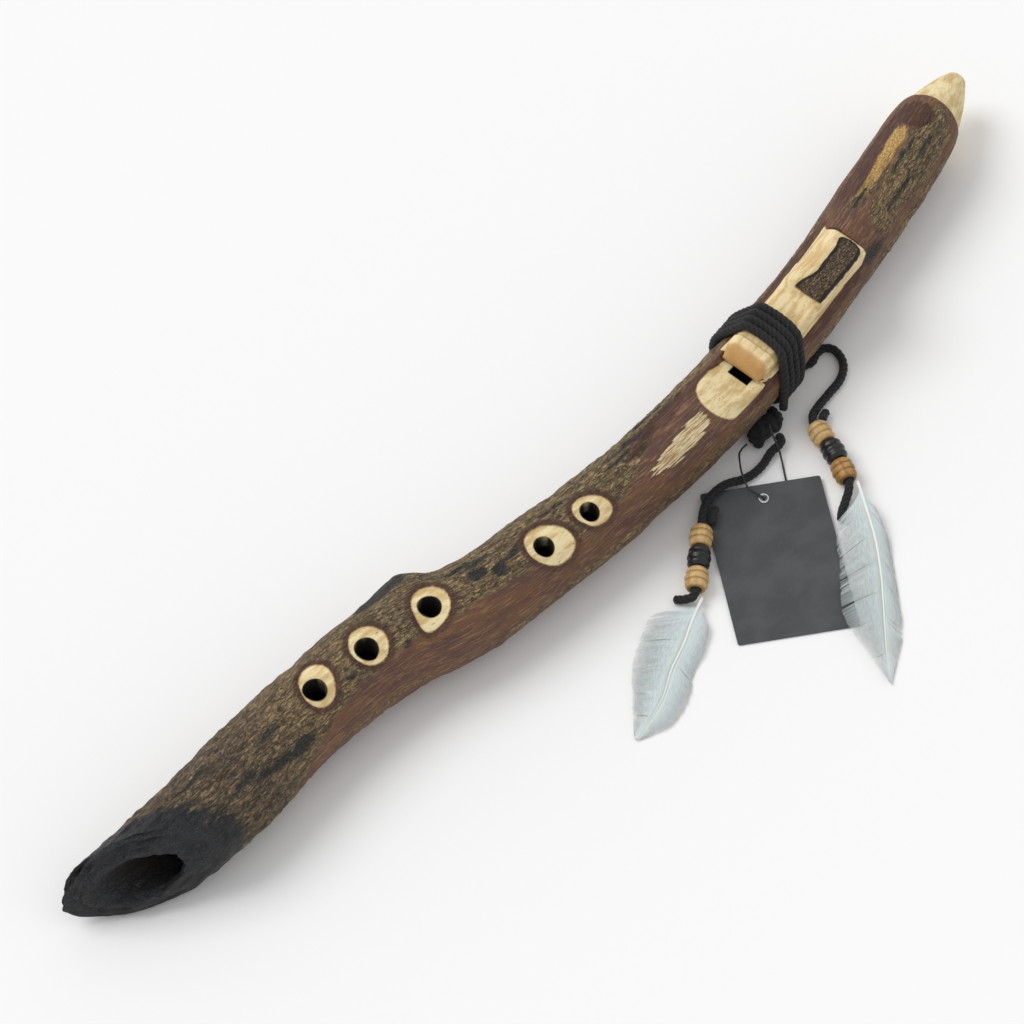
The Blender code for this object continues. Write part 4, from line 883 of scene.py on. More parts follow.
print("branch:", len(carved.vertices), "points,", len(carved.polygons), "faces")

# %% [markdown]
# The maps are worked out again at every point of the finished mesh, also at those that the Booleans made, and
# stored with it. The grain is the place in the straightened branch, so that streaks follow the bends.
# %% Maps on the mesh
points = np.empty(len(carved.vertices) * 3, np.float32)
carved.vertices.foreach_get("co", points)
points = points.reshape(-1, 3).astype(float)
place, turn, radius = branch_reading(points)
maps = bark_maps(place, turn, points)
depth = (branch_radius(np.clip(place, BRANCH_START, BRANCH_END)) - radius) * 1000
# This map holds soot on the burnt finger holes, and painted shade in the window and down the holes.
soot = np.full(len(points), -30.0)
for hole_place, diameter, lean in FINGER_HOLES:
    centre, _, _, up = branch_frame(np.array([hole_place]), lean)
    middle = centre[0] + up[0] * float(branch_radius(hole_place))
    soot = np.maximum(soot, (diameter / 2 - np.hypot(*(points[:, :2] - middle[:2]).T)) * 1000)
origin, along, side, up = nest_axes()
window_ahead, window_across = (points - origin) @ along, (points - origin) @ side - WINDOW_OFFSET
in_window = np.minimum(np.minimum(-window_ahead, window_ahead + WINDOW_LENGTH), half - np.abs(window_across)) * 1000
soot = np.maximum(soot, in_window)
walls = np.stack([branch_frame(place)[0], points])
set_field(branch, "grain", np.stack([place, radius * np.cos(turn), radius * np.sin(turn)], axis=1))
set_field(branch, "soot", soot)
set_field(branch, "depth", depth)
for name, values in maps.items():
    set_field(branch, name, values)
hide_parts("upper_half", "lower_half")
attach(branch, "flute")
print("soot from", round(float(soot.min()), 1), "to", round(float(soot.max()), 1), "mm")

# %% [markdown]
# The block is whittled from a split piece of branch: a low nose over the window, a saddle for the cord, and a
# hump that keeps its bark on top. Lofting a few sections gives flat facets, so the surface is a fine grid whose
# sections are rounded by averaging along their outline, and a slow wave leaves the marks of the knife.
# %% The block
BLOCK_FRONT = -0.0008
BLOCK = np.array([
    (-0.0022, 0.0014, 0.0010, 0.0010), (-0.0010, 0.0050, 0.0030, 0.0030), (0.0000, 0.0072, 0.0030, 0.0030),
    (0.0014, 0.0090, 0.0030, 0.0028), (0.0036, 0.0100, 0.0028, 0.0024), (0.0074, 0.0098, 0.0028, 0.0024),
    (0.0092, 0.0066, 0.0030, 0.0030), (0.0300, 0.0060, 0.0030, 0.0030), (0.0390, 0.0064, 0.0026, 0.0022),
    (0.0424, 0.0078, 0.0022, 0.0016), (0.0455, 0.0120, 0.0030, 0.0013), (0.0490, 0.0134, 0.0044, 0.0013),
    (0.0550, 0.0140, 0.0066, 0.0013), (0.0650, 0.0144, 0.0080, 0.0013), (0.0750, 0.0138, 0.0058, 0.0013),
    (0.0805, 0.0124, 0.0034, 0.0018), (0.0838, 0.0078, 0.0026, 0.0022), (0.0843, 0.0012, 0.0010, 0.0010),
])
PATCH_OUTLINE = np.array([
    (79.1, 2.4), (80.5, -0.6), (80.5, -4), (79.2, -7.8), (76.9, -9.4), (73.2, -10.2), (64.9, -10.4), (54.4, -10.6),
    (47.4, -10.4), (43.8, -10.2), (42.6, -9.4), (41.6, -7.6), (41.4, -2.4), (41.7, 1.9), (42.1, 4.2), (43.8, 4.7),
    (49, 3), (52.6, 1.2), (56.2, 0.6), (61.7, 1.1), (65.7, 1.2), (69.2, 1.2), (72.1, 1.6), (74.8, 2.4), (77.8, 2.9),
]) / 1000


def outline_reading(points, outline):
    """Distance of places from a closed outline, positive inside it.

    The distance is the least to any of the outline's sides, and a place is inside where a ray from it crosses
    an odd number of sides.
    """
    start, end = outline, np.roll(outline, -1, axis=0)
    side = end - start
    away = points[:, None, :] - start
    share = np.clip((away * side).sum(-1) / (side**2).sum(-1), 0, 1)
    nearest = np.linalg.norm(away - side * share[..., None], axis=-1).min(axis=1)
    spans = (start[:, 1] > points[:, None, 1]) != (end[:, 1] > points[:, None, 1])
    rise = np.where(side[:, 1] == 0, 1e-9, side[:, 1])
    crossing = start[:, 0] + (points[:, None, 1] - start[:, 1]) / rise * side[:, 0]
    inside = (spans & (points[:, None, 0] < crossing)).sum(axis=1) % 2 == 1
    return np.where(inside, nearest, -nearest)


def block_section(x, columns):
    """Rounded section at each station: the outline's corners, evened by averaging along it.

    The top is crowned, and the corners' places are read smoothly between the stations.
    """
    height, left, right = (np.interp(x, BLOCK[:, 0], BLOCK[:, k]) for k in (1, 2, 3))
    share = np.clip(x / BLOCK_LENGTH, 0, 1)
    half = (BLOCK_WIDTH_FRONT + (BLOCK_WIDTH_REAR - BLOCK_WIDTH_FRONT) * share) / 2
    half = half - 0.0012 * soft_step(0.0030, -0.0022, x) - 0.0012 * soft_step(0.0800, 0.0843, x)
    zero = np.zeros_like(x)
    side_y = [half, half, half - left, (right - left) / 2, -half + right, -half, -half]
    side_z = [zero, np.maximum(0.45 * height, height - left), height, height + 0.0004, height, height - right, zero]
    corners = np.stack([np.stack(side_y), np.stack(side_z)], axis=-1)
    corners = np.concatenate([corners, corners[:1]])
    steps = np.linalg.norm(np.diff(corners, axis=0), axis=-1)
    run = np.concatenate([np.zeros((1, len(x))), np.cumsum(steps, axis=0)])
    even = np.arange(columns) / columns
    section = np.empty((len(x), columns, 2))
    for i in range(len(x)):
        for k in range(2):
            section[i, :, k] = np.interp(even * run[-1, i], run[:, i], corners[:, i, k])
    return section


rows, columns = 190, 128
x = np.concatenate([np.linspace(BLOCK[0, 0], 0.012, 42), np.linspace(0.012, 0.038, 40)[1:],
                    np.linspace(0.038, 0.052, 34)[1:], np.linspace(0.052, BLOCK[-1, 0], 78)[1:]])
section = block_section(x, columns)
for _ in range(3):
    section = 0.5 * section + 0.25 * (np.roll(section, 1, axis=1) + np.roll(section, -1, axis=1))
for _ in range(3):
    section[1:-1] = 0.5 * section[1:-1] + 0.25 * (section[:-2] + section[2:])
grid = np.concatenate([np.broadcast_to(x[:, None, None], (*section.shape[:2], 1)), section], axis=-1)
flat = grid.reshape(-1, 3)
patch = outline_reading(flat[:, :2], PATCH_OUTLINE)
ahead_noise = value_noise(flat[:, 0] / 0.0042, flat[:, 1] / 0.0016 + 40, 97, 71)
fibres = ridge_noise(flat[:, 0], flat[:, 1] * 50, 0.0038, 0.0012, 72)
upper_side = soft_step(0.0095, 0.0115, flat[:, 2])
on_patch = soft_step(-0.0002, 0.0006, patch) * upper_side
bark_height = 0.0006 * (fibres - 0.35) + 0.0006 * (ahead_noise - 0.5) + 0.0004
cut_line = np.exp(-((patch + 0.0002) / 0.0004) ** 2) * upper_side
knife = 0.00022 * (value_noise(flat[:, 0] / 0.0090, flat[:, 1] / 0.0042 + 20, 61, 73) - 0.5)
lift = on_patch * bark_height - 0.0004 * cut_line + knife * (1 - on_patch) * soft_step(0.0005, 0.003, flat[:, 2])
outward = np.array([0, 0, 1.0])
flat[:, 2] += lift * soft_step(0.0005, 0.004, flat[:, 2])
origin, along, side, up = nest_axes()
nest_turned = np.stack([along, side, up])
block_origin = origin + along * BLOCK_FRONT + up * GAP
block = carried_surface("block_carved", (block_origin + flat @ nest_turned).reshape(grid.shape))
ends = np.stack([grid[0].mean(axis=0), grid[-1].mean(axis=0)])
local = np.concatenate([flat, ends])
set_field(block, "local", local)
set_field(block, "patch", np.concatenate([patch, [-0.03, -0.03]]) * 1000)
shade(block, 50)
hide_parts("block")
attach(block, "block")
print("block:", len(block.data.polygons), "faces, bark patch", round(float(patch.max()) * 2000, 1), "mm wide")

# %% [markdown]
# Each bead is turned from wood: a barrel with three soft rings and a bore. Its surface is a profile carried round
# the bore's axis, and a slight wobble keeps it from looking like plastic. Every bead spins on its cord, so each
# is a piece of its own.
# %% The beads
BEAD_RADIUS, BEAD_BORE = 0.0055, 0.0027
BEAD_SLOTS = {"left": ("bead_pale", "bead_black", "bead_pale"), "right": ("bead_pale", "bead_black", "bead_ochre")}


def bead_profile(steps):
    """Radius over the bead's length: a flattened half ellipse with three cosine rings, then back down the bore."""
    place = np.sin(np.linspace(-math.pi / 2, math.pi / 2, steps))
    barrel = 0.66 + 0.34 * np.sqrt(np.maximum(0, 1 - place**2))
    rings = 0.040 * np.cos(3 * math.pi * place) * (1 - np.abs(place) ** 6)
    outer = BEAD_RADIUS * np.minimum(1.0, barrel * 0.965 + rings)
    bore = np.full(7, BEAD_BORE)
    return np.concatenate([outer, bore]), np.concatenate([place, np.linspace(1, -1, 7)]) * BEAD_LENGTH / 2


def bead(name, centre, heading, seed):
    radius, place = bead_profile(48)
    turn = (2 * math.pi * np.arange(56) / 56)[None, :]
    wobble = 1 + 0.012 * np.cos(turn + seed) + 0.008 * np.cos(2 * turn + 2 * seed)
    side = unit(np.cross((0, 0, 1), heading))
    up = np.cross(heading, side)
    lengths = radius[:, None] * wobble
    local = np.stack([lengths * np.cos(turn), lengths * np.sin(turn), np.broadcast_to(place[:, None], lengths.shape)], -1)
    grid = centre + local @ np.stack([side, up, heading])
    obj = put_mesh(name, grid.reshape(-1, 3), grid_faces(*grid.shape[:2], joined_rows=True))
    set_field(obj, "local", local.reshape(-1, 3) + (0.05 * seed, 0, 0))
    shade(obj, 50)
    return obj


beads = {}
for tail, slots in BEAD_SLOTS.items():
    for number, (place, slot) in enumerate(zip(bead_places(tail), slots), start=1):
        name = f"bead_{tail}_{number}"
        beads[name] = bead("turned_" + name, *place, seed=number + (3 if tail == "right" else 0))
        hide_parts(name)
        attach(beads[name], name)
print("beads:", ", ".join(beads))

# %% [markdown]
# A feather is a shaft with hundreds of barbs on each side. A single sheet would need a picture to look right, so
# every barb is a thin blade of its own with three sides. The blades lie close like tiles, and where neighbours
# lean apart the feather splits, as worn feathers do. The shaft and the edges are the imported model's.
# %% The feathers
LEFT_SPINE = (
    (0.0074, -0.0694, 0.0042), (-0.0035, -0.0735, 0.0036), (-0.0159, -0.0789, 0.0032), (-0.0294, -0.0836, 0.0030),
    (-0.0437, -0.0905, 0.0026), (-0.0564, -0.0938, 0.0019), (-0.0667, -0.0953, 0.0012),
)
LEFT_VANES = (
    (0.00, 0.0008, 0.0008), (0.08, 0.0038, 0.0036), (0.13, 0.0062, 0.0100), (0.18, 0.0078, 0.0168),
    (0.28, 0.0093, 0.0190), (0.46, 0.0096, 0.0183), (0.70, 0.0108, 0.0142), (0.85, 0.0085, 0.0092),
    (0.95, 0.0032, 0.0040), (1.00, 0.0008, 0.0008),
)
RIGHT_SPINE = (
    (0.1008, -0.0810, 0.0064), (0.0975, -0.0860, 0.0066), (0.0927, -0.0929, 0.0064), (0.0828, -0.1064, 0.0058),
    (0.0700, -0.1205, 0.0050), (0.0564, -0.1335, 0.0040), (0.0447, -0.1444, 0.0028), (0.0300, -0.1592, 0.0012),
)
RIGHT_VANES = (
    (0.00, 0.0008, 0.0008), (0.07, 0.0024, 0.0060), (0.15, 0.0042, 0.0130), (0.25, 0.0058, 0.0170),
    (0.40, 0.0064, 0.0176), (0.60, 0.0074, 0.0186), (0.71, 0.0080, 0.0170), (0.79, 0.0076, 0.0124),
    (0.88, 0.0048, 0.0074), (0.95, 0.0022, 0.0034), (1.00, 0.0008, 0.0008),
)
BARBS = 300
BARB_STEPS = 8
BARB_WIDTH, BARB_THICKNESS = 0.00042, 0.00012


def blades(lines, width, thickness):
    """Closed three-sided blades along lines: a flat underside and a low ridge on top.

    Each line's section is a triangle as wide as the blade, and it shrinks to nearly a point at the line's end.
    """
    count, steps, _ = lines.shape
    ahead = np.gradient(lines, axis=1)
    ahead /= np.linalg.norm(ahead, axis=-1, keepdims=True)
    side = np.cross(ahead, (0.0, 0.0, 1.0))
    side /= np.linalg.norm(side, axis=-1, keepdims=True)
    taper = np.linspace(1, 0.25, steps)[None, :, None] * np.asarray(width).reshape(-1, 1, 1)
    low = np.array([0, 0, -0.5 * thickness])
    ring = np.stack([lines - side * taper / 2 + low, lines + side * taper / 2 + low, lines - low], axis=2)
    points = ring.reshape(-1, 3)
    index = np.arange(count * steps * 3).reshape(count, steps, 3)
    beside = np.roll(index, -1, axis=2)
    quads = np.stack([index[:, :-1], beside[:, :-1], beside[:, 1:], index[:, 1:]], axis=-1).reshape(-1, 4)
    caps = np.concatenate([index[:, 0, ::-1], index[:, -1]])
    return points, quads, caps


def feather_lines(spine, vanes, edges, side, seed):
    """Lines of the barbs on one side of the shaft.

    A barb leaves the shaft at a share t of its length, leans towards the tip, and ends on the vane's edge. Its
    height falls from the shaft's to the edge's with the power 1.5 of the way out. Groups of barbs lean together.
    """
    chance = np.random.default_rng(seed)
    shaft = smooth_route(spine, 0.0004)
    run = route_run(shaft)
    total = run[-1]
    stations, first, second = np.array(vanes).T
    start = np.linspace(0.035, 0.985, BARBS)
    groups = np.cumsum(chance.random(BARBS) < 0.05)
    lean = 0.030 * (chance.random(groups.max() + 1) - 0.5)[groups]
    out = np.linspace(0, 1, BARB_STEPS)[None, :]
    sweep = (0.080 + 0.05 * (1 - start[:, None])) * (1 - 0.5 * start[:, None])
    t = start[:, None] + (sweep + lean[:, None]) * out**1.25
    t = np.minimum(t, 1.0 + 0.004 * out)
    width = read_smooth(np.clip(t, 0, 1), stations, first if side > 0 else second)
    ragged = 1 + 0.05 * (value_noise(start * 60, start * 0, 1, seed + 1) - 0.6)[:, None]
    ragged = ragged + 0.035 * (chance.random(BARBS) - 0.5)[:, None]
    across = side * np.maximum(width, 0.0006) * out * ragged
    place = np.stack([np.interp(np.clip(t, 0, 1) * total, run, shaft[:, k]) for k in range(3)], axis=-1)
    beyond = np.maximum(t - 1, 0) * total
    heading = np.gradient(shaft, axis=0) * (1, 1, 0)
    heading /= np.linalg.norm(heading, axis=1, keepdims=True)
    ahead = np.stack([np.interp(np.clip(t, 0, 1) * total, run, heading[:, k]) for k in range(3)], axis=-1)
    beside = np.cross((0, 0, 1), ahead)
    drop = np.clip((t - 0.15) / 0.25, 0, 1)
    edge = edges[0] if side > 0 else edges[1]
    wave = 0.0005 * (value_noise(start * 14, start * 0, 1, seed + 2) - 0.5)[:, None] * out
    height = place[..., 2] - (place[..., 2] - edge) * drop * out**1.5 + wave
    lines = place + beside * across[..., None] + ahead * beyond[..., None]
    lines[..., 2] = np.maximum(height, 0.00035)
    return lines, start


def feather(name, spine, vanes, edges, seed):
    pieces, shares, outs = [], [], []
    for side in (1, -1):
        lines, start = feather_lines(spine, vanes, edges, side, seed + side)
        pieces.append(blades(lines, np.full(BARBS, BARB_WIDTH), BARB_THICKNESS))
        shares.append(np.repeat(start, BARB_STEPS * 3))
        outs.append(np.tile(np.repeat(np.linspace(0, 1, BARB_STEPS), 3), BARBS) * side)
    shaft = smooth_route(spine, 0.0012)
    run = route_run(shaft) / route_run(shaft)[-1]
    _, side, up = route_frames(shaft)
    angle = (2 * math.pi * np.arange(10) / 10)[None, :]
    thick = (0.00075 * (1 - 0.86 * run) + 0.00006)[:, None, None]
    ring = side[:, None] * np.cos(angle)[..., None] + up[:, None] * np.sin(angle)[..., None] * 0.8
    tube = shaft[:, None] + ring * thick + (0, 0, 0.0001)
    rows, columns, _ = tube.shape
    points = np.concatenate([tube.reshape(-1, 3), tube[:1].mean(axis=1), tube[-1:].mean(axis=1)])
    low, high = np.arange(columns), np.arange(columns) + (rows - 1) * columns
    caps = np.concatenate([
        np.stack([low, np.roll(low, -1), np.full(columns, rows * columns)], axis=1),
        np.stack([np.roll(high, -1), high, np.full(columns, rows * columns + 1)], axis=1),
    ])
    pieces.append((points, grid_faces(rows, columns)[:, ::-1], caps))
    shares.append(np.full(len(points), -1.0))
    outs.append(np.zeros(len(points)))
    offsets = np.cumsum([0] + [len(piece[0]) for piece in pieces[:-1]])
    obj = put_mesh(
        name, np.concatenate([piece[0] for piece in pieces]),
        np.concatenate([piece[1] + offset for piece, offset in zip(pieces, offsets)]),
        np.concatenate([piece[2] + offset for piece, offset in zip(pieces, offsets)]),
    )
    set_field(obj, "barb", np.column_stack([np.concatenate(shares), np.concatenate(outs), np.zeros(len(obj.data.vertices))]))
    obj.data.shade_smooth()
    return obj


feathers = {
    "left": feather("feather_barbs_left", LEFT_SPINE, LEFT_VANES, (0.0009, 0.0009), 100),
    "right": feather("feather_barbs_right", RIGHT_SPINE, RIGHT_VANES, (0.0009, 0.0036), 200),
}
for side, obj in feathers.items():
    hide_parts("feather_" + side)
    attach(obj, "flute")
    print("feather", side, "has", len(obj.data.polygons), "faces")

# %% [markdown]
# The materials come next. Nodes are easier to read when the ones that feed a value stand beside it, so these
# helpers make a node, join what it is given, and hand back its output. Effects that several finishes share are
# node groups: a noise drawn out along the grain, a border that frays, and the lines of split wood.
# %% Node helpers


def node(tree, kind, sockets=None, **settings):
    """One shader node. A socket given as another node's output is linked, and any other value is set."""
    made = tree.nodes.new("ShaderNode" + kind)
    for name, value in settings.items():
        setattr(made, name, value)
    for key, value in (sockets or {}).items():
        if isinstance(value, bpy.types.NodeSocket):
            tree.links.new(value, made.inputs[key])
        else:
            made.inputs[key].default_value = value
    return made


def sums(tree, operation, first, second=0.0, third=0.0, clamp=False):
    made = node(tree, "Math", {0: first, 1: second, 2: third}, operation=operation, use_clamp=clamp)
    return made.outputs[0]


def blend(tree, factor, first, second, kind="MIX"):
    """Second colour over the first, as far as the factor says."""
    first, second = ((*c, 1) if isinstance(c, tuple) and len(c) == 3 else c for c in (first, second))
    made = node(tree, "Mix", {0: factor, 6: first, 7: second}, data_type="RGBA", blend_type=kind)
    return made.outputs[2]


def shift(tree, factor, first, second):
    """Value from first to second."""
    return node(tree, "Mix", {0: factor, 2: first, 3: second}, data_type="FLOAT").outputs[0]


def climb(tree, value, low, high):
    """0 below low, 1 above high, smooth between."""
    made = node(tree, "MapRange", {0: value, 1: low, 2: high, 3: 0.0, 4: 1.0}, interpolation_type="SMOOTHSTEP")
    return made.outputs[0]


def field(tree, name, vector=False):
    made = node(tree, "Attribute", attribute_name=name)
    return made.outputs["Vector" if vector else "Fac"]


def new_group(name, inputs, outputs):
    """Empty node group with named sockets, and its two end nodes."""
    tree = bpy.data.node_groups.new(name, "ShaderNodeTree")
    kinds = {"v": "NodeSocketVector", "f": "NodeSocketFloat", "c": "NodeSocketColor"}
    for socket, kind, value in inputs:
        made = tree.interface.new_socket(socket, in_out="INPUT", socket_type=kinds[kind])
        if value is not None:
            made.default_value = value
    for socket, kind in outputs:
        tree.interface.new_socket(socket, in_out="OUTPUT", socket_type=kinds[kind])
    return tree, tree.nodes.new("NodeGroupInput"), tree.nodes.new("NodeGroupOutput")


def use(tree, group, output, **sockets):
    """One output of a group placed in a tree, with the group's inputs by name."""
    made = tree.nodes.new("ShaderNodeGroup")
    made.node_tree = group
    for key, value in sockets.items():
        socket = made.inputs[key.replace("_", " ")]
        if isinstance(value, bpy.types.NodeSocket):
            tree.links.new(value, socket)
        else:
            socket.default_value = value
    return made.outputs[output]


def new_finish(name, roughness=0.7, **constants):
    """A material with its Principled shader. Constants are set on the shader's own sockets."""
    material = bpy.data.materials.new(name)
    material.use_nodes = True
    shader = material.node_tree.nodes["Principled BSDF"]
    shader.inputs["Roughness"].default_value = roughness
    for key, value in constants.items():
        shader.inputs[key.replace("_", " ")].default_value = value
    return material, material.node_tree, shader


def bump(tree, shader, height, millimetres=1.0):
    """Height in millimetres as a bump in the shader's normal."""
    made = node(tree, "Bump", {"Height": height, "Distance": 0.001 * millimetres, "Strength": 1.0})
    tree.links.new(made.outputs["Normal"], shader.inputs["Normal"])


def paint(tree, shader, colour, roughness=None):
    tree.links.new(colour, shader.inputs["Base Color"])
    if roughness is not None:
        tree.links.new(roughness, shader.inputs["Roughness"])


print("node helpers ready")

# %% [markdown]
# Drawn noise is the pattern behind bark, wood and cord alike: ordinary noise whose place is divided by a length
# along the grain and by a width across it. Frayed takes a map's distance and lets noise push its border to and
# fro. Split lines turns the noise's middle level into thin winding lines, as cracks and fibres are.
# %% Shared groups
drawn, ends_in, ends_out = new_group(
    "drawn noise",
    [("Place", "v", None), ("Length", "f", 10.0), ("Width", "f", 1.0), ("Detail", "f", 3.0), ("Roughness", "f", 0.6),
     ("Warp", "f", 0.0)],
    [("Value", "f")],
)
along = sums(drawn, "DIVIDE", 1000.0, ends_in.outputs["Length"])
across = sums(drawn, "DIVIDE", 1000.0, ends_in.outputs["Width"])
scale = node(drawn, "CombineXYZ", {0: along, 1: across, 2: across}).outputs[0]
place = node(drawn, "VectorMath", {0: ends_in.outputs["Place"], 1: scale}, operation="MULTIPLY").outputs[0]
noise = node(
    drawn, "TexNoise",
    {"Vector": place, "Scale": 1.0, "Detail": ends_in.outputs["Detail"], "Roughness": ends_in.outputs["Roughness"],
     "Distortion": ends_in.outputs["Warp"]},
)
drawn.links.new(noise.outputs["Fac"], ends_out.inputs["Value"])

frayed, ends_in, ends_out = new_group(
    "frayed border",
    [("Distance", "f", 0.0), ("Noise", "f", 0.5), ("Fray", "f", 1.0), ("Softness", "f", 0.4)],
    [("Mask", "f")],
)
pushed = sums(frayed, "SUBTRACT", ends_in.outputs["Noise"], 0.5)
pushed = sums(frayed, "MULTIPLY", pushed, ends_in.outputs["Fray"])
pushed = sums(frayed, "MULTIPLY_ADD", pushed, 4.0, ends_in.outputs["Distance"])
pushed = sums(frayed, "DIVIDE", pushed, ends_in.outputs["Softness"])
frayed.links.new(sums(frayed, "ADD", pushed, 0.5, clamp=True), ends_out.inputs["Mask"])

split, ends_in, ends_out = new_group(
    "split lines",
    [("Place", "v", None), ("Length", "f", 10.0), ("Width", "f", 1.0), ("Reach", "f", 0.1), ("Warp", "f", 0.5)],
    [("Lines", "f"), ("Rise", "f")],
)
level = use(
    split, drawn, "Value", Place=ends_in.outputs["Place"], Length=ends_in.outputs["Length"],
    Width=ends_in.outputs["Width"], Detail=2.5, Roughness=0.55, Warp=ends_in.outputs["Warp"],
)
rise = sums(split, "ABSOLUTE", sums(split, "MULTIPLY_ADD", level, 2.0, -1.0))
lines = sums(split, "SUBTRACT", 1.0, sums(split, "DIVIDE", rise, ends_in.outputs["Reach"], clamp=True), clamp=True)
split.links.new(lines, ends_out.inputs["Lines"])
split.links.new(rise, ends_out.inputs["Rise"])

grain, ends_in, ends_out = new_group(
    "pale grain",
    [("Place", "v", None), ("Light", "c", (0.85, 0.7, 0.42, 1)), ("Dark", "c", (0.55, 0.36, 0.15, 1)),
     ("Line", "c", (0.2, 0.1, 0.04, 1)), ("Length", "f", 14.0), ("Width", "f", 0.7)],
    [("Color", "c"), ("Height", "f")],
)
spot = ends_in.outputs["Place"]
broad = use(grain, drawn, "Value", Place=spot, Length=sums(grain, "MULTIPLY", ends_in.outputs["Length"], 1.6),
            Width=sums(grain, "MULTIPLY", ends_in.outputs["Width"], 5.0), Detail=3.0)
fine = use(grain, drawn, "Value", Place=spot, Length=ends_in.outputs["Length"], Width=ends_in.outputs["Width"],
           Detail=3.0, Warp=0.3)
flecks = use(grain, drawn, "Value", Place=spot, Length=2.4, Width=0.55, Detail=2.0)
tone = blend(grain, climb(grain, broad, 0.38, 0.66), ends_in.outputs["Light"], ends_in.outputs["Dark"])
lined = sums(grain, "MULTIPLY", climb(grain, fine, 0.55, 0.72), 0.55)
tone = blend(grain, lined, tone, ends_in.outputs["Dark"])
flecked = sums(grain, "MULTIPLY", climb(grain, flecks, 0.64, 0.74), 0.75)
tone = blend(grain, flecked, tone, ends_in.outputs["Line"])
grain.links.new(tone, ends_out.inputs["Color"])
lowered = sums(grain, "MULTIPLY_ADD", fine, -0.10, sums(grain, "MULTIPLY", flecked, -0.12))
grain.links.new(lowered, ends_out.inputs["Height"])
print("groups:", ", ".join(group.name for group in bpy.data.node_groups))

# %% [markdown]
# The bark's finish lays one kind of bark over another by the maps. Its ground is the smooth reddish skin with
# fine streaks. Over that come rough tan bark with cracks, maroon and gold stains, dark patches, peeled wood with
# a scorched border, and last the char of the foot.
# %% Bark: skin and rough bark
bark, tree, shader = new_finish("bark", 0.72)
spot = field(tree, "grain", vector=True)
apart = node(tree, "SeparateXYZ", {0: spot})
far = apart.outputs[0]
wide = use(tree, drawn, "Value", Place=spot, Length=30, Width=7, Detail=3)
streaks = use(tree, drawn, "Value", Place=spot, Length=9, Width=0.75, Detail=4, Roughness=0.65, Warp=0.2)
threads = use(tree, drawn, "Value", Place=spot, Length=3.2, Width=0.38, Detail=3)
grit = use(tree, drawn, "Value", Place=spot, Length=0.9, Width=0.55, Detail=3)
fray = use(tree, drawn, "Value", Place=spot, Length=5, Width=1.7, Detail=4, Roughness=0.65)
fine_fray = use(tree, drawn, "Value", Place=spot, Length=1.3, Width=0.9, Detail=3)

skin = blend(tree, climb(tree, wide, 0.40, 0.60), (0.150, 0.070, 0.034), (0.105, 0.048, 0.036))
skin = blend(tree, climb(tree, streaks, 0.50, 0.66), skin, (0.270, 0.150, 0.072))
skin = blend(tree, sums(tree, "MULTIPLY", climb(tree, threads, 0.56, 0.70), 0.75), skin, (0.038, 0.018, 0.013))
skin = blend(tree, sums(tree, "MULTIPLY", climb(tree, grit, 0.60, 0.72), 0.5), skin, (0.33, 0.20, 0.11))

cracks = use(tree, split, "Lines", Place=spot, Length=9, Width=2.2, Reach=0.13, Warp=0.7)
plates = use(tree, split, "Rise", Place=spot, Length=5.5, Width=1.5, Reach=0.2, Warp=0.5)
small_cracks = use(tree, split, "Lines", Place=spot, Length=3.4, Width=0.9, Reach=0.16, Warp=0.5)
# The rough bark's colour follows its relief: lighter plate crests, darker valleys and cracks. This is partly the
# bark's own colour and partly painted highlight and painted shade.
rough = blend(tree, climb(tree, plates, 0.0, 0.35), (0.170, 0.105, 0.048), (0.400, 0.285, 0.130))
rough = blend(tree, sums(tree, "MULTIPLY", climb(tree, grit, 0.50, 0.66), 0.6), rough, (0.560, 0.440, 0.230))
rough = blend(tree, sums(tree, "MULTIPLY", climb(tree, wide, 0.56, 0.66), 0.4), rough, (0.120, 0.105, 0.070))
rough = blend(tree, sums(tree, "MULTIPLY", small_cracks, 0.7), rough, (0.060, 0.038, 0.022))
rough = blend(tree, sums(tree, "MULTIPLY", cracks, 0.85), rough, (0.028, 0.020, 0.014))
foot_share = climb(tree, far, -0.165, -0.215)
# The foot's bark likewise has lighter crests and darker cracks, partly its own colour and partly painted highlight and
# painted shade.
foot = blend(tree, climb(tree, plates, 0.0, 0.40), (0.105, 0.070, 0.038), (0.320, 0.215, 0.115))
foot = blend(tree, sums(tree, "MULTIPLY", climb(tree, grit, 0.52, 0.68), 0.5), foot, (0.460, 0.350, 0.210))
foot = blend(tree, sums(tree, "MULTIPLY", small_cracks, 0.75), foot, (0.045, 0.034, 0.024))
foot = blend(tree, sums(tree, "MULTIPLY", cracks, 0.9), foot, (0.026, 0.022, 0.019))
rough = blend(tree, foot_share, rough, foot)

is_rough = use(tree, frayed, "Mask", Distance=field(tree, "tan"), Noise=fray, Fray=2.6, Softness=1.6)
colour = blend(tree, is_rough, skin, rough)

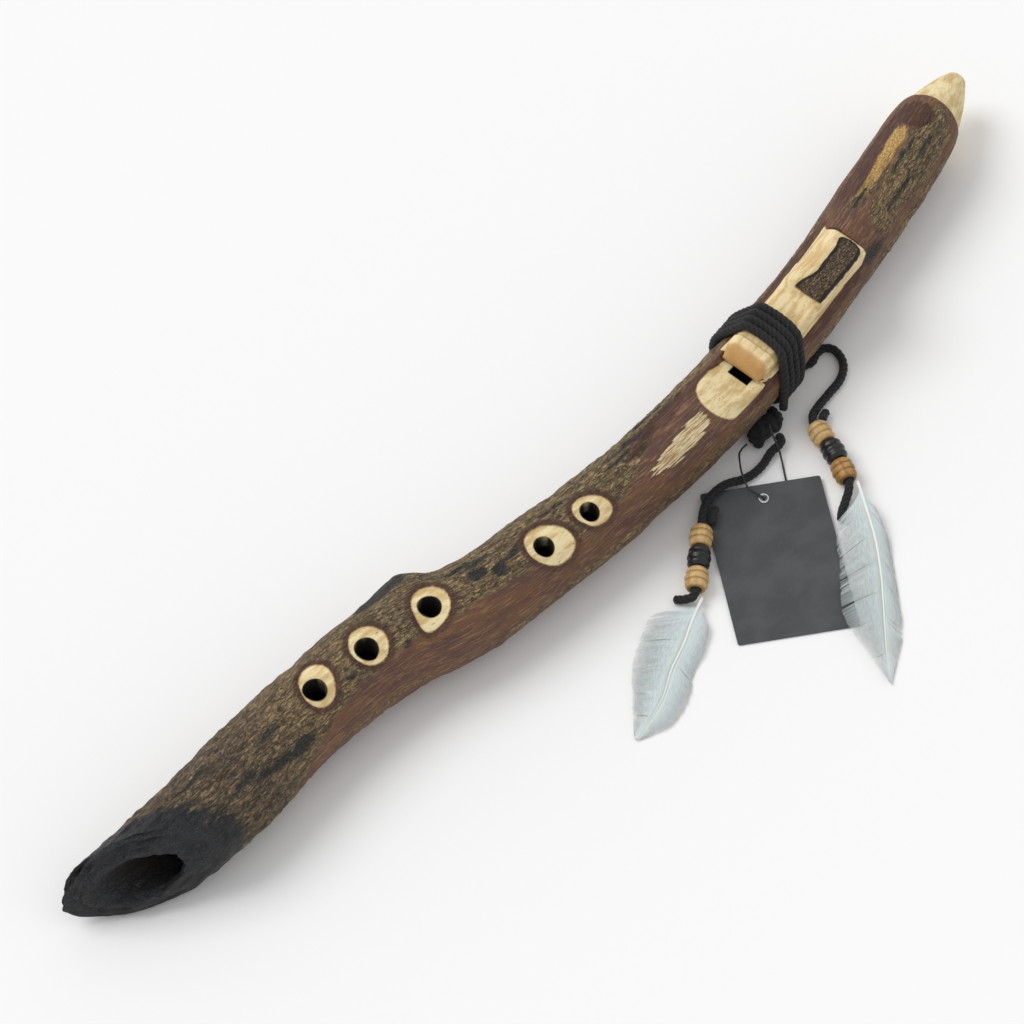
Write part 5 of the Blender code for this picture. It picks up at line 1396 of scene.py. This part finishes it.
# %% [markdown]
# Stains and patches have their own frayed borders. Peeled wood is scorched for about three millimetres round each
# finger hole, where the hole was burnt in, so the ring's map serves twice: as wood inside and as scorch outside.
# %% Bark: stains, peeled wood and char
is_maroon = use(tree, frayed, "Mask", Distance=field(tree, "maroon"), Noise=fray, Fray=1.6, Softness=1.4)
maroon = blend(tree, climb(tree, streaks, 0.48, 0.68), (0.060, 0.022, 0.014), (0.150, 0.070, 0.040))
colour = blend(tree, sums(tree, "MULTIPLY", is_maroon, 0.92), colour, maroon)
is_gold = use(tree, frayed, "Mask", Distance=field(tree, "gold"), Noise=fray, Fray=0.8, Softness=0.8)
gold = blend(tree, climb(tree, grit, 0.42, 0.64), (0.330, 0.190, 0.060), (0.640, 0.410, 0.140))
colour = blend(tree, is_gold, colour, gold)
is_dark = use(tree, frayed, "Mask", Distance=field(tree, "dark"), Noise=fray, Fray=1.2, Softness=0.9)
dark = blend(tree, climb(tree, grit, 0.45, 0.65), (0.018, 0.016, 0.013), (0.075, 0.070, 0.055))
colour = blend(tree, is_dark, colour, dark)
is_split = use(tree, frayed, "Mask", Distance=field(tree, "streak"), Noise=streaks, Fray=1.6, Softness=0.5)
splinter = blend(tree, climb(tree, streaks, 0.40, 0.60), (0.360, 0.225, 0.095), (0.800, 0.660, 0.400))
colour = blend(tree, is_split, colour, splinter)

ring_distance = field(tree, "ring")
scorch_distance = sums(tree, "ADD", ring_distance, 2.7)
is_scorched = use(tree, frayed, "Mask", Distance=scorch_distance, Noise=fine_fray, Fray=0.9, Softness=1.2)
scorch = blend(tree, climb(tree, threads, 0.42, 0.66), (0.060, 0.024, 0.014), (0.150, 0.075, 0.040))
colour = blend(tree, sums(tree, "MULTIPLY", is_scorched, 0.93), colour, scorch)

wood_colour = use(tree, grain, "Color", Place=spot, Light=(0.86, 0.72, 0.42, 1), Dark=(0.60, 0.43, 0.19, 1),
                  Line=(0.22, 0.12, 0.05, 1), Length=10, Width=0.8)
wood_height = use(tree, grain, "Height", Place=spot, Length=10, Width=0.8)
pale_distance = field(tree, "pale")
is_pale = use(tree, frayed, "Mask", Distance=pale_distance, Noise=fine_fray, Fray=0.30, Softness=0.35)
rim = sums(tree, "SUBTRACT", 1.0, climb(tree, sums(tree, "ABSOLUTE", pale_distance), 0.1, 0.8))
wood_colour = blend(tree, sums(tree, "MULTIPLY", rim, 0.75), wood_colour, (0.30, 0.17, 0.07))
colour = blend(tree, is_pale, colour, wood_colour)

# Near black at the holes: soot round the burnt finger holes, and painted shade inside them and inside the window.
burnt_rim_and_hole_shade = climb(tree, field(tree, "soot"), -0.75, -0.10)
colour = blend(tree, burnt_rim_and_hole_shade, colour, (0.010, 0.007, 0.005))
# Painted shade: the inside of the tube, deeper than 6.8 mm under the bark, is painted near black.
bore_shade = climb(tree, field(tree, "depth"), 6.8, 8.6)
colour = blend(tree, bore_shade, colour, (0.012, 0.009, 0.007))

char_distance = field(tree, "char")
is_char = use(tree, frayed, "Mask", Distance=char_distance, Noise=fray, Fray=7.0, Softness=6.0)
char = blend(tree, climb(tree, grit, 0.45, 0.70), (0.008, 0.009, 0.011), (0.028, 0.030, 0.034))
chips = use(tree, drawn, "Value", Place=spot, Length=7, Width=3.2, Detail=4, Roughness=0.7)
left_bare = sums(tree, "MULTIPLY", climb(tree, chips, 0.62, 0.70), climb(tree, char_distance, 26.0, 6.0))
char = blend(tree, sums(tree, "MULTIPLY", left_bare, 0.8), char, rough)
colour = blend(tree, is_char, colour, char)
roughness = shift(tree, is_char, 0.74, 0.46)
paint(tree, shader, colour, roughness)

crack_height = sums(tree, "MULTIPLY_ADD", cracks, -0.42, sums(tree, "MULTIPLY", small_cracks, -0.20))
rough_height = sums(tree, "MULTIPLY_ADD", plates, 0.32, crack_height)
rough_height = sums(tree, "MULTIPLY_ADD", grit, 0.28, rough_height)
skin_height = sums(tree, "MULTIPLY_ADD", streaks, 0.26, sums(tree, "MULTIPLY", threads, -0.20))
height = shift(tree, is_rough, skin_height, rough_height)
height = shift(tree, is_pale, height, wood_height)
height = shift(tree, is_split, height, sums(tree, "MULTIPLY", streaks, 0.55))
bump(tree, shader, height)
branch.data.materials.clear()
branch.data.materials.append(bark)
print("bark has", len(tree.nodes), "nodes")

# %% [markdown]
# The block's wood is paler than the branch's peeled places and has been rubbed with wax. Its front bevel is stained
# orange. The patch of bark on its hump is burnt along its edge.
# %% Block
block_finish, tree, shader = new_finish("block_wood", 0.55)
spot = field(tree, "local", vector=True)
apart = node(tree, "SeparateXYZ", {0: spot})
fray = use(tree, drawn, "Value", Place=spot, Length=3, Width=1.4, Detail=4)
grit = use(tree, drawn, "Value", Place=spot, Length=1.1, Width=0.6, Detail=3)
wood_colour = use(tree, grain, "Color", Place=spot, Light=(0.86, 0.70, 0.40, 1), Dark=(0.62, 0.42, 0.17, 1),
                  Line=(0.25, 0.13, 0.05, 1), Length=11, Width=0.7)
wood_height = use(tree, grain, "Height", Place=spot, Length=11, Width=0.7)
front = climb(tree, sums(tree, "MULTIPLY_ADD", apart.outputs[2], -0.30, apart.outputs[0]), 0.0006, -0.0012)
wood_colour = blend(tree, sums(tree, "MULTIPLY", front, 0.85), wood_colour, (0.52, 0.27, 0.08))
patch_distance = field(tree, "patch")
upper = climb(tree, apart.outputs[2], 0.0098, 0.0112)
is_patch = use(tree, frayed, "Mask", Distance=patch_distance, Noise=fray, Fray=0.25, Softness=0.4)
is_patch = sums(tree, "MULTIPLY", is_patch, upper)
patch_cracks = use(tree, split, "Lines", Place=spot, Length=3.6, Width=1.3, Reach=0.25, Warp=0.8)
patch_bark = blend(tree, climb(tree, grit, 0.40, 0.62), (0.060, 0.038, 0.026), (0.330, 0.220, 0.120))
patch_bark = blend(tree, sums(tree, "MULTIPLY", patch_cracks, 0.8), patch_bark, (0.020, 0.014, 0.010))
burnt = climb(tree, sums(tree, "MULTIPLY_ADD", fray, 1.2, sums(tree, "MULTIPLY", patch_distance, -1.0)), -0.6, -1.6)
patch_bark = blend(tree, sums(tree, "SUBTRACT", 1.0, burnt), patch_bark, (0.020, 0.015, 0.011))
wood_colour = blend(tree, is_patch, wood_colour, patch_bark)
paint(tree, shader, wood_colour, shift(tree, is_patch, 0.52, 0.85))
patch_height = sums(tree, "MULTIPLY_ADD", grit, 0.7, sums(tree, "MULTIPLY", patch_cracks, -0.4))
bump(tree, shader, shift(tree, is_patch, wood_height, patch_height))
block.data.materials.append(block_finish)
print("block finish has", len(tree.nodes), "nodes")

# %% [markdown]
# Black cotton is painted a little lighter on each strand's crest and darker in the grooves between strands: a painted
# highlight and painted shade. The twist field gives the place along, round and in the strand, so yarn lines can run
# with the cord as real ones do.
# %% Cord and string
cord_finish, tree, shader = new_finish("black_cord", 0.85, Sheen_Weight=0.25, Sheen_Roughness=0.5)
shader.inputs["Sheen Tint"].default_value = (0.25, 0.25, 0.28, 1)
spot = field(tree, "twist", vector=True)
apart = node(tree, "SeparateXYZ", {0: spot})
yarn = use(tree, drawn, "Value", Place=spot, Length=2.2, Width=0.30, Detail=2)
fluff = use(tree, drawn, "Value", Place=spot, Length=0.5, Width=0.35, Detail=4)
strand = node(tree, "Math", {0: sums(tree, "MULTIPLY", apart.outputs[2], float(STRANDS))}, operation="COSINE").outputs[0]
# Painted highlight on the strands' crests and painted shade in the grooves between them.
crest_highlight = climb(tree, strand, 0.6, -0.8)
colour = blend(tree, crest_highlight, (0.004, 0.004, 0.004), (0.016, 0.016, 0.018))
colour = blend(tree, sums(tree, "MULTIPLY", climb(tree, yarn, 0.50, 0.68), 0.7), colour, (0.034, 0.034, 0.037))
paint(tree, shader, colour)
bump(tree, shader, sums(tree, "MULTIPLY_ADD", yarn, 0.35, sums(tree, "MULTIPLY", fluff, 0.22)))
for piece in (lashing, knot_core, *wraps, *tails.values(), *folds.values()):
    piece.data.materials.append(cord_finish)

string_finish, tree, shader = new_finish("string", 0.5)
spot = node(tree, "TexCoord").outputs["Object"]
fluff = use(tree, drawn, "Value", Place=spot, Length=0.6, Width=0.6, Detail=3)
paint(tree, shader, blend(tree, fluff, (0.010, 0.010, 0.010), (0.035, 0.035, 0.035)))
bump(tree, shader, fluff, 0.15)
curve.materials.append(string_finish)
print("cord finish on", 4 + len(wraps) + 2, "pieces")

# %% [markdown]
# The beads share one finish with three colours. Grain runs along the bore, the ring grooves are painted darker, and
# the black ones are lacquered.
# %% Beads
BEAD_COLOURS = {
    "bead_pale": ((0.66, 0.45, 0.19), (0.46, 0.28, 0.10), (0.24, 0.13, 0.05), 0.42),
    "bead_black": ((0.016, 0.016, 0.018), (0.008, 0.008, 0.009), (0.004, 0.004, 0.005), 0.30),
    "bead_ochre": ((0.50, 0.27, 0.075), (0.30, 0.145, 0.035), (0.13, 0.06, 0.02), 0.42),
}
bead_finishes = {}
for slot, (light, dark, line, gloss) in BEAD_COLOURS.items():
    bead_finishes[slot], tree, shader = new_finish(slot, gloss)
    spot = field(tree, "local", vector=True)
    apart = node(tree, "SeparateXYZ", {0: spot})
    turned = node(tree, "CombineXYZ", {0: apart.outputs[2], 1: apart.outputs[0], 2: apart.outputs[1]}).outputs[0]
    colour = use(tree, grain, "Color", Place=turned, Light=(*light, 1), Dark=(*dark, 1), Line=(*line, 1), Length=9, Width=0.5)
    wave = sums(tree, "COSINE", sums(tree, "MULTIPLY", apart.outputs[2], 6 * math.pi / BEAD_LENGTH))
    # The ring grooves are painted darker.
    groove = climb(tree, wave, -0.35, -1.0)
    colour = blend(tree, sums(tree, "MULTIPLY", groove, 0.7), colour, line)
    grit = use(tree, drawn, "Value", Place=turned, Length=1.5, Width=0.5, Detail=3)
    paint(tree, shader, colour, shift(tree, grit, gloss - 0.08, gloss + 0.18))
    bump(tree, shader, use(tree, grain, "Height", Place=turned, Length=9, Width=0.5), 0.6)
for name, obj in beads.items():
    _, tail, number = name.split("_")
    obj.data.materials.append(bead_finishes[BEAD_SLOTS[tail][int(number) - 1]])
print("bead finishes:", ", ".join(bead_finishes))

# %% [markdown]
# Feather barbs are nearly white, with painted grey shade in soft random bands that stands for light going through the
# vane, and cream at the shaft. The barb field holds the place along the shaft and the share of the way out, so the
# tone can follow both.
# %% Feathers
feather_finish, tree, shader = new_finish("feather_white", 0.55, Sheen_Weight=0.3, Subsurface_Weight=0.25)
shader.inputs["Subsurface Scale"].default_value = 0.002
apart = node(tree, "SeparateXYZ", {0: field(tree, "barb", vector=True)})
share, out = apart.outputs[0], apart.outputs[1]
bands = node(tree, "TexNoise", {"Vector": node(tree, "CombineXYZ", {0: share, 1: out}).outputs[0], "Scale": 26.0,
                                "Detail": 3.0}).outputs["Fac"]
# Painted shade: grey noise bands over the near-white barbs.
tone = blend(tree, climb(tree, bands, 0.35, 0.65), (0.70, 0.72, 0.70), (0.86, 0.88, 0.86))
tone = blend(tree, climb(tree, sums(tree, "ABSOLUTE", out), 0.25, 0.0), tone, (0.88, 0.88, 0.83))
paint(tree, shader, tone)
fibre = use(tree, drawn, "Value", Place=node(tree, "TexCoord").outputs["Object"], Length=0.8, Width=0.5, Detail=2)
bump(tree, shader, fibre, 0.05)
for obj in feathers.values():
    obj.data.materials.append(feather_finish)
print("feather finish has", len(tree.nodes), "nodes")

# %% [markdown]
# The tag is charcoal card with a soft bloom and fine scuffs, and its face is left bare. The eyelet is pressed
# steel with faint scratches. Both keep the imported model's shapes and only get a better finish.
# %% Tag
card_finish, tree, shader = new_finish("card", 0.6)
spot = node(tree, "TexCoord").outputs["Object"]
cloud = use(tree, drawn, "Value", Place=spot, Length=22, Width=16, Detail=4)
speck = use(tree, drawn, "Value", Place=spot, Length=0.7, Width=0.7, Detail=2)
scuff = use(tree, drawn, "Value", Place=spot, Length=5, Width=1.4, Detail=4, Roughness=0.7)
tone = blend(tree, climb(tree, cloud, 0.35, 0.65), (0.050, 0.055, 0.058), (0.072, 0.078, 0.081))
tone = blend(tree, sums(tree, "MULTIPLY", climb(tree, scuff, 0.62, 0.74), 0.5), tone, (0.115, 0.120, 0.122))
tone = blend(tree, sums(tree, "MULTIPLY", climb(tree, speck, 0.70, 0.78), 0.6), tone, (0.16, 0.16, 0.16))
paint(tree, shader, tone, shift(tree, cloud, 0.45, 0.70))
bump(tree, shader, speck, 0.04)

steel_finish, tree, shader = new_finish("steel", 0.3, Metallic=1.0)
spot = node(tree, "TexCoord").outputs["Object"]
scratch = use(tree, drawn, "Value", Place=spot, Length=0.5, Width=0.15, Detail=3)
paint(tree, shader, blend(tree, scratch, (0.62, 0.62, 0.63), (0.82, 0.82, 0.83)), shift(tree, scratch, 0.20, 0.42))
bump(tree, shader, scratch, 0.02)
for name, finish in (("tag_card", card_finish), ("tag_eyelet", steel_finish)):
    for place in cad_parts[name].material_slots:
        place.material = finish
print("tag finishes ready")

# %% [markdown]
# The flute lies on white paper under soft daylight from the upper left. The world gives most of the light from
# all round, and a broad lamp adds the faint shadow on the right. Together they light a level surface by about
# one, so that a colour renders as it is written.
# %% Light and floor
WORLD_LEVEL = 0.66
LAMP_ENERGY = 1.35
world = bpy.data.worlds.new("studio")
world.use_nodes = True
world.node_tree.nodes["Background"].inputs["Strength"].default_value = WORLD_LEVEL
world.node_tree.nodes["Background"].inputs["Color"].default_value = (1, 1, 1, 1)
bpy.context.scene.world = world
lamp = bpy.data.objects.new("daylight", bpy.data.lights.new("daylight", "SUN"))
lamp.data.energy = LAMP_ENERGY
lamp.data.angle = math.radians(35)
lamp.rotation_mode = "QUATERNION"
lamp.rotation_quaternion = Vector((0.30, -0.55, -0.80)).to_track_quat("-Z", "Y")
bpy.context.scene.collection.objects.link(lamp)
FLOOR_REACH = 6
corners = np.array([(-1, -1, 0), (1, -1, 0), (1, 1, 0), (-1, 1, 0)], float) * (FLOOR_REACH, FLOOR_REACH, 1)
floor_mesh = bpy.data.meshes.new("floor")
floor_mesh.from_pydata(corners.tolist(), [], [(0, 1, 2, 3)])
floor = bpy.data.objects.new("floor", floor_mesh)
bpy.context.scene.collection.objects.link(floor)
paper, tree, shader = new_finish("paper", 0.9)
shader.inputs["Base Color"].default_value = (0.96, 0.96, 0.96, 1)
floor_mesh.materials.append(paper)
print("floor", 2 * FLOOR_REACH, "m across")

bpy.context.view_layer.update()
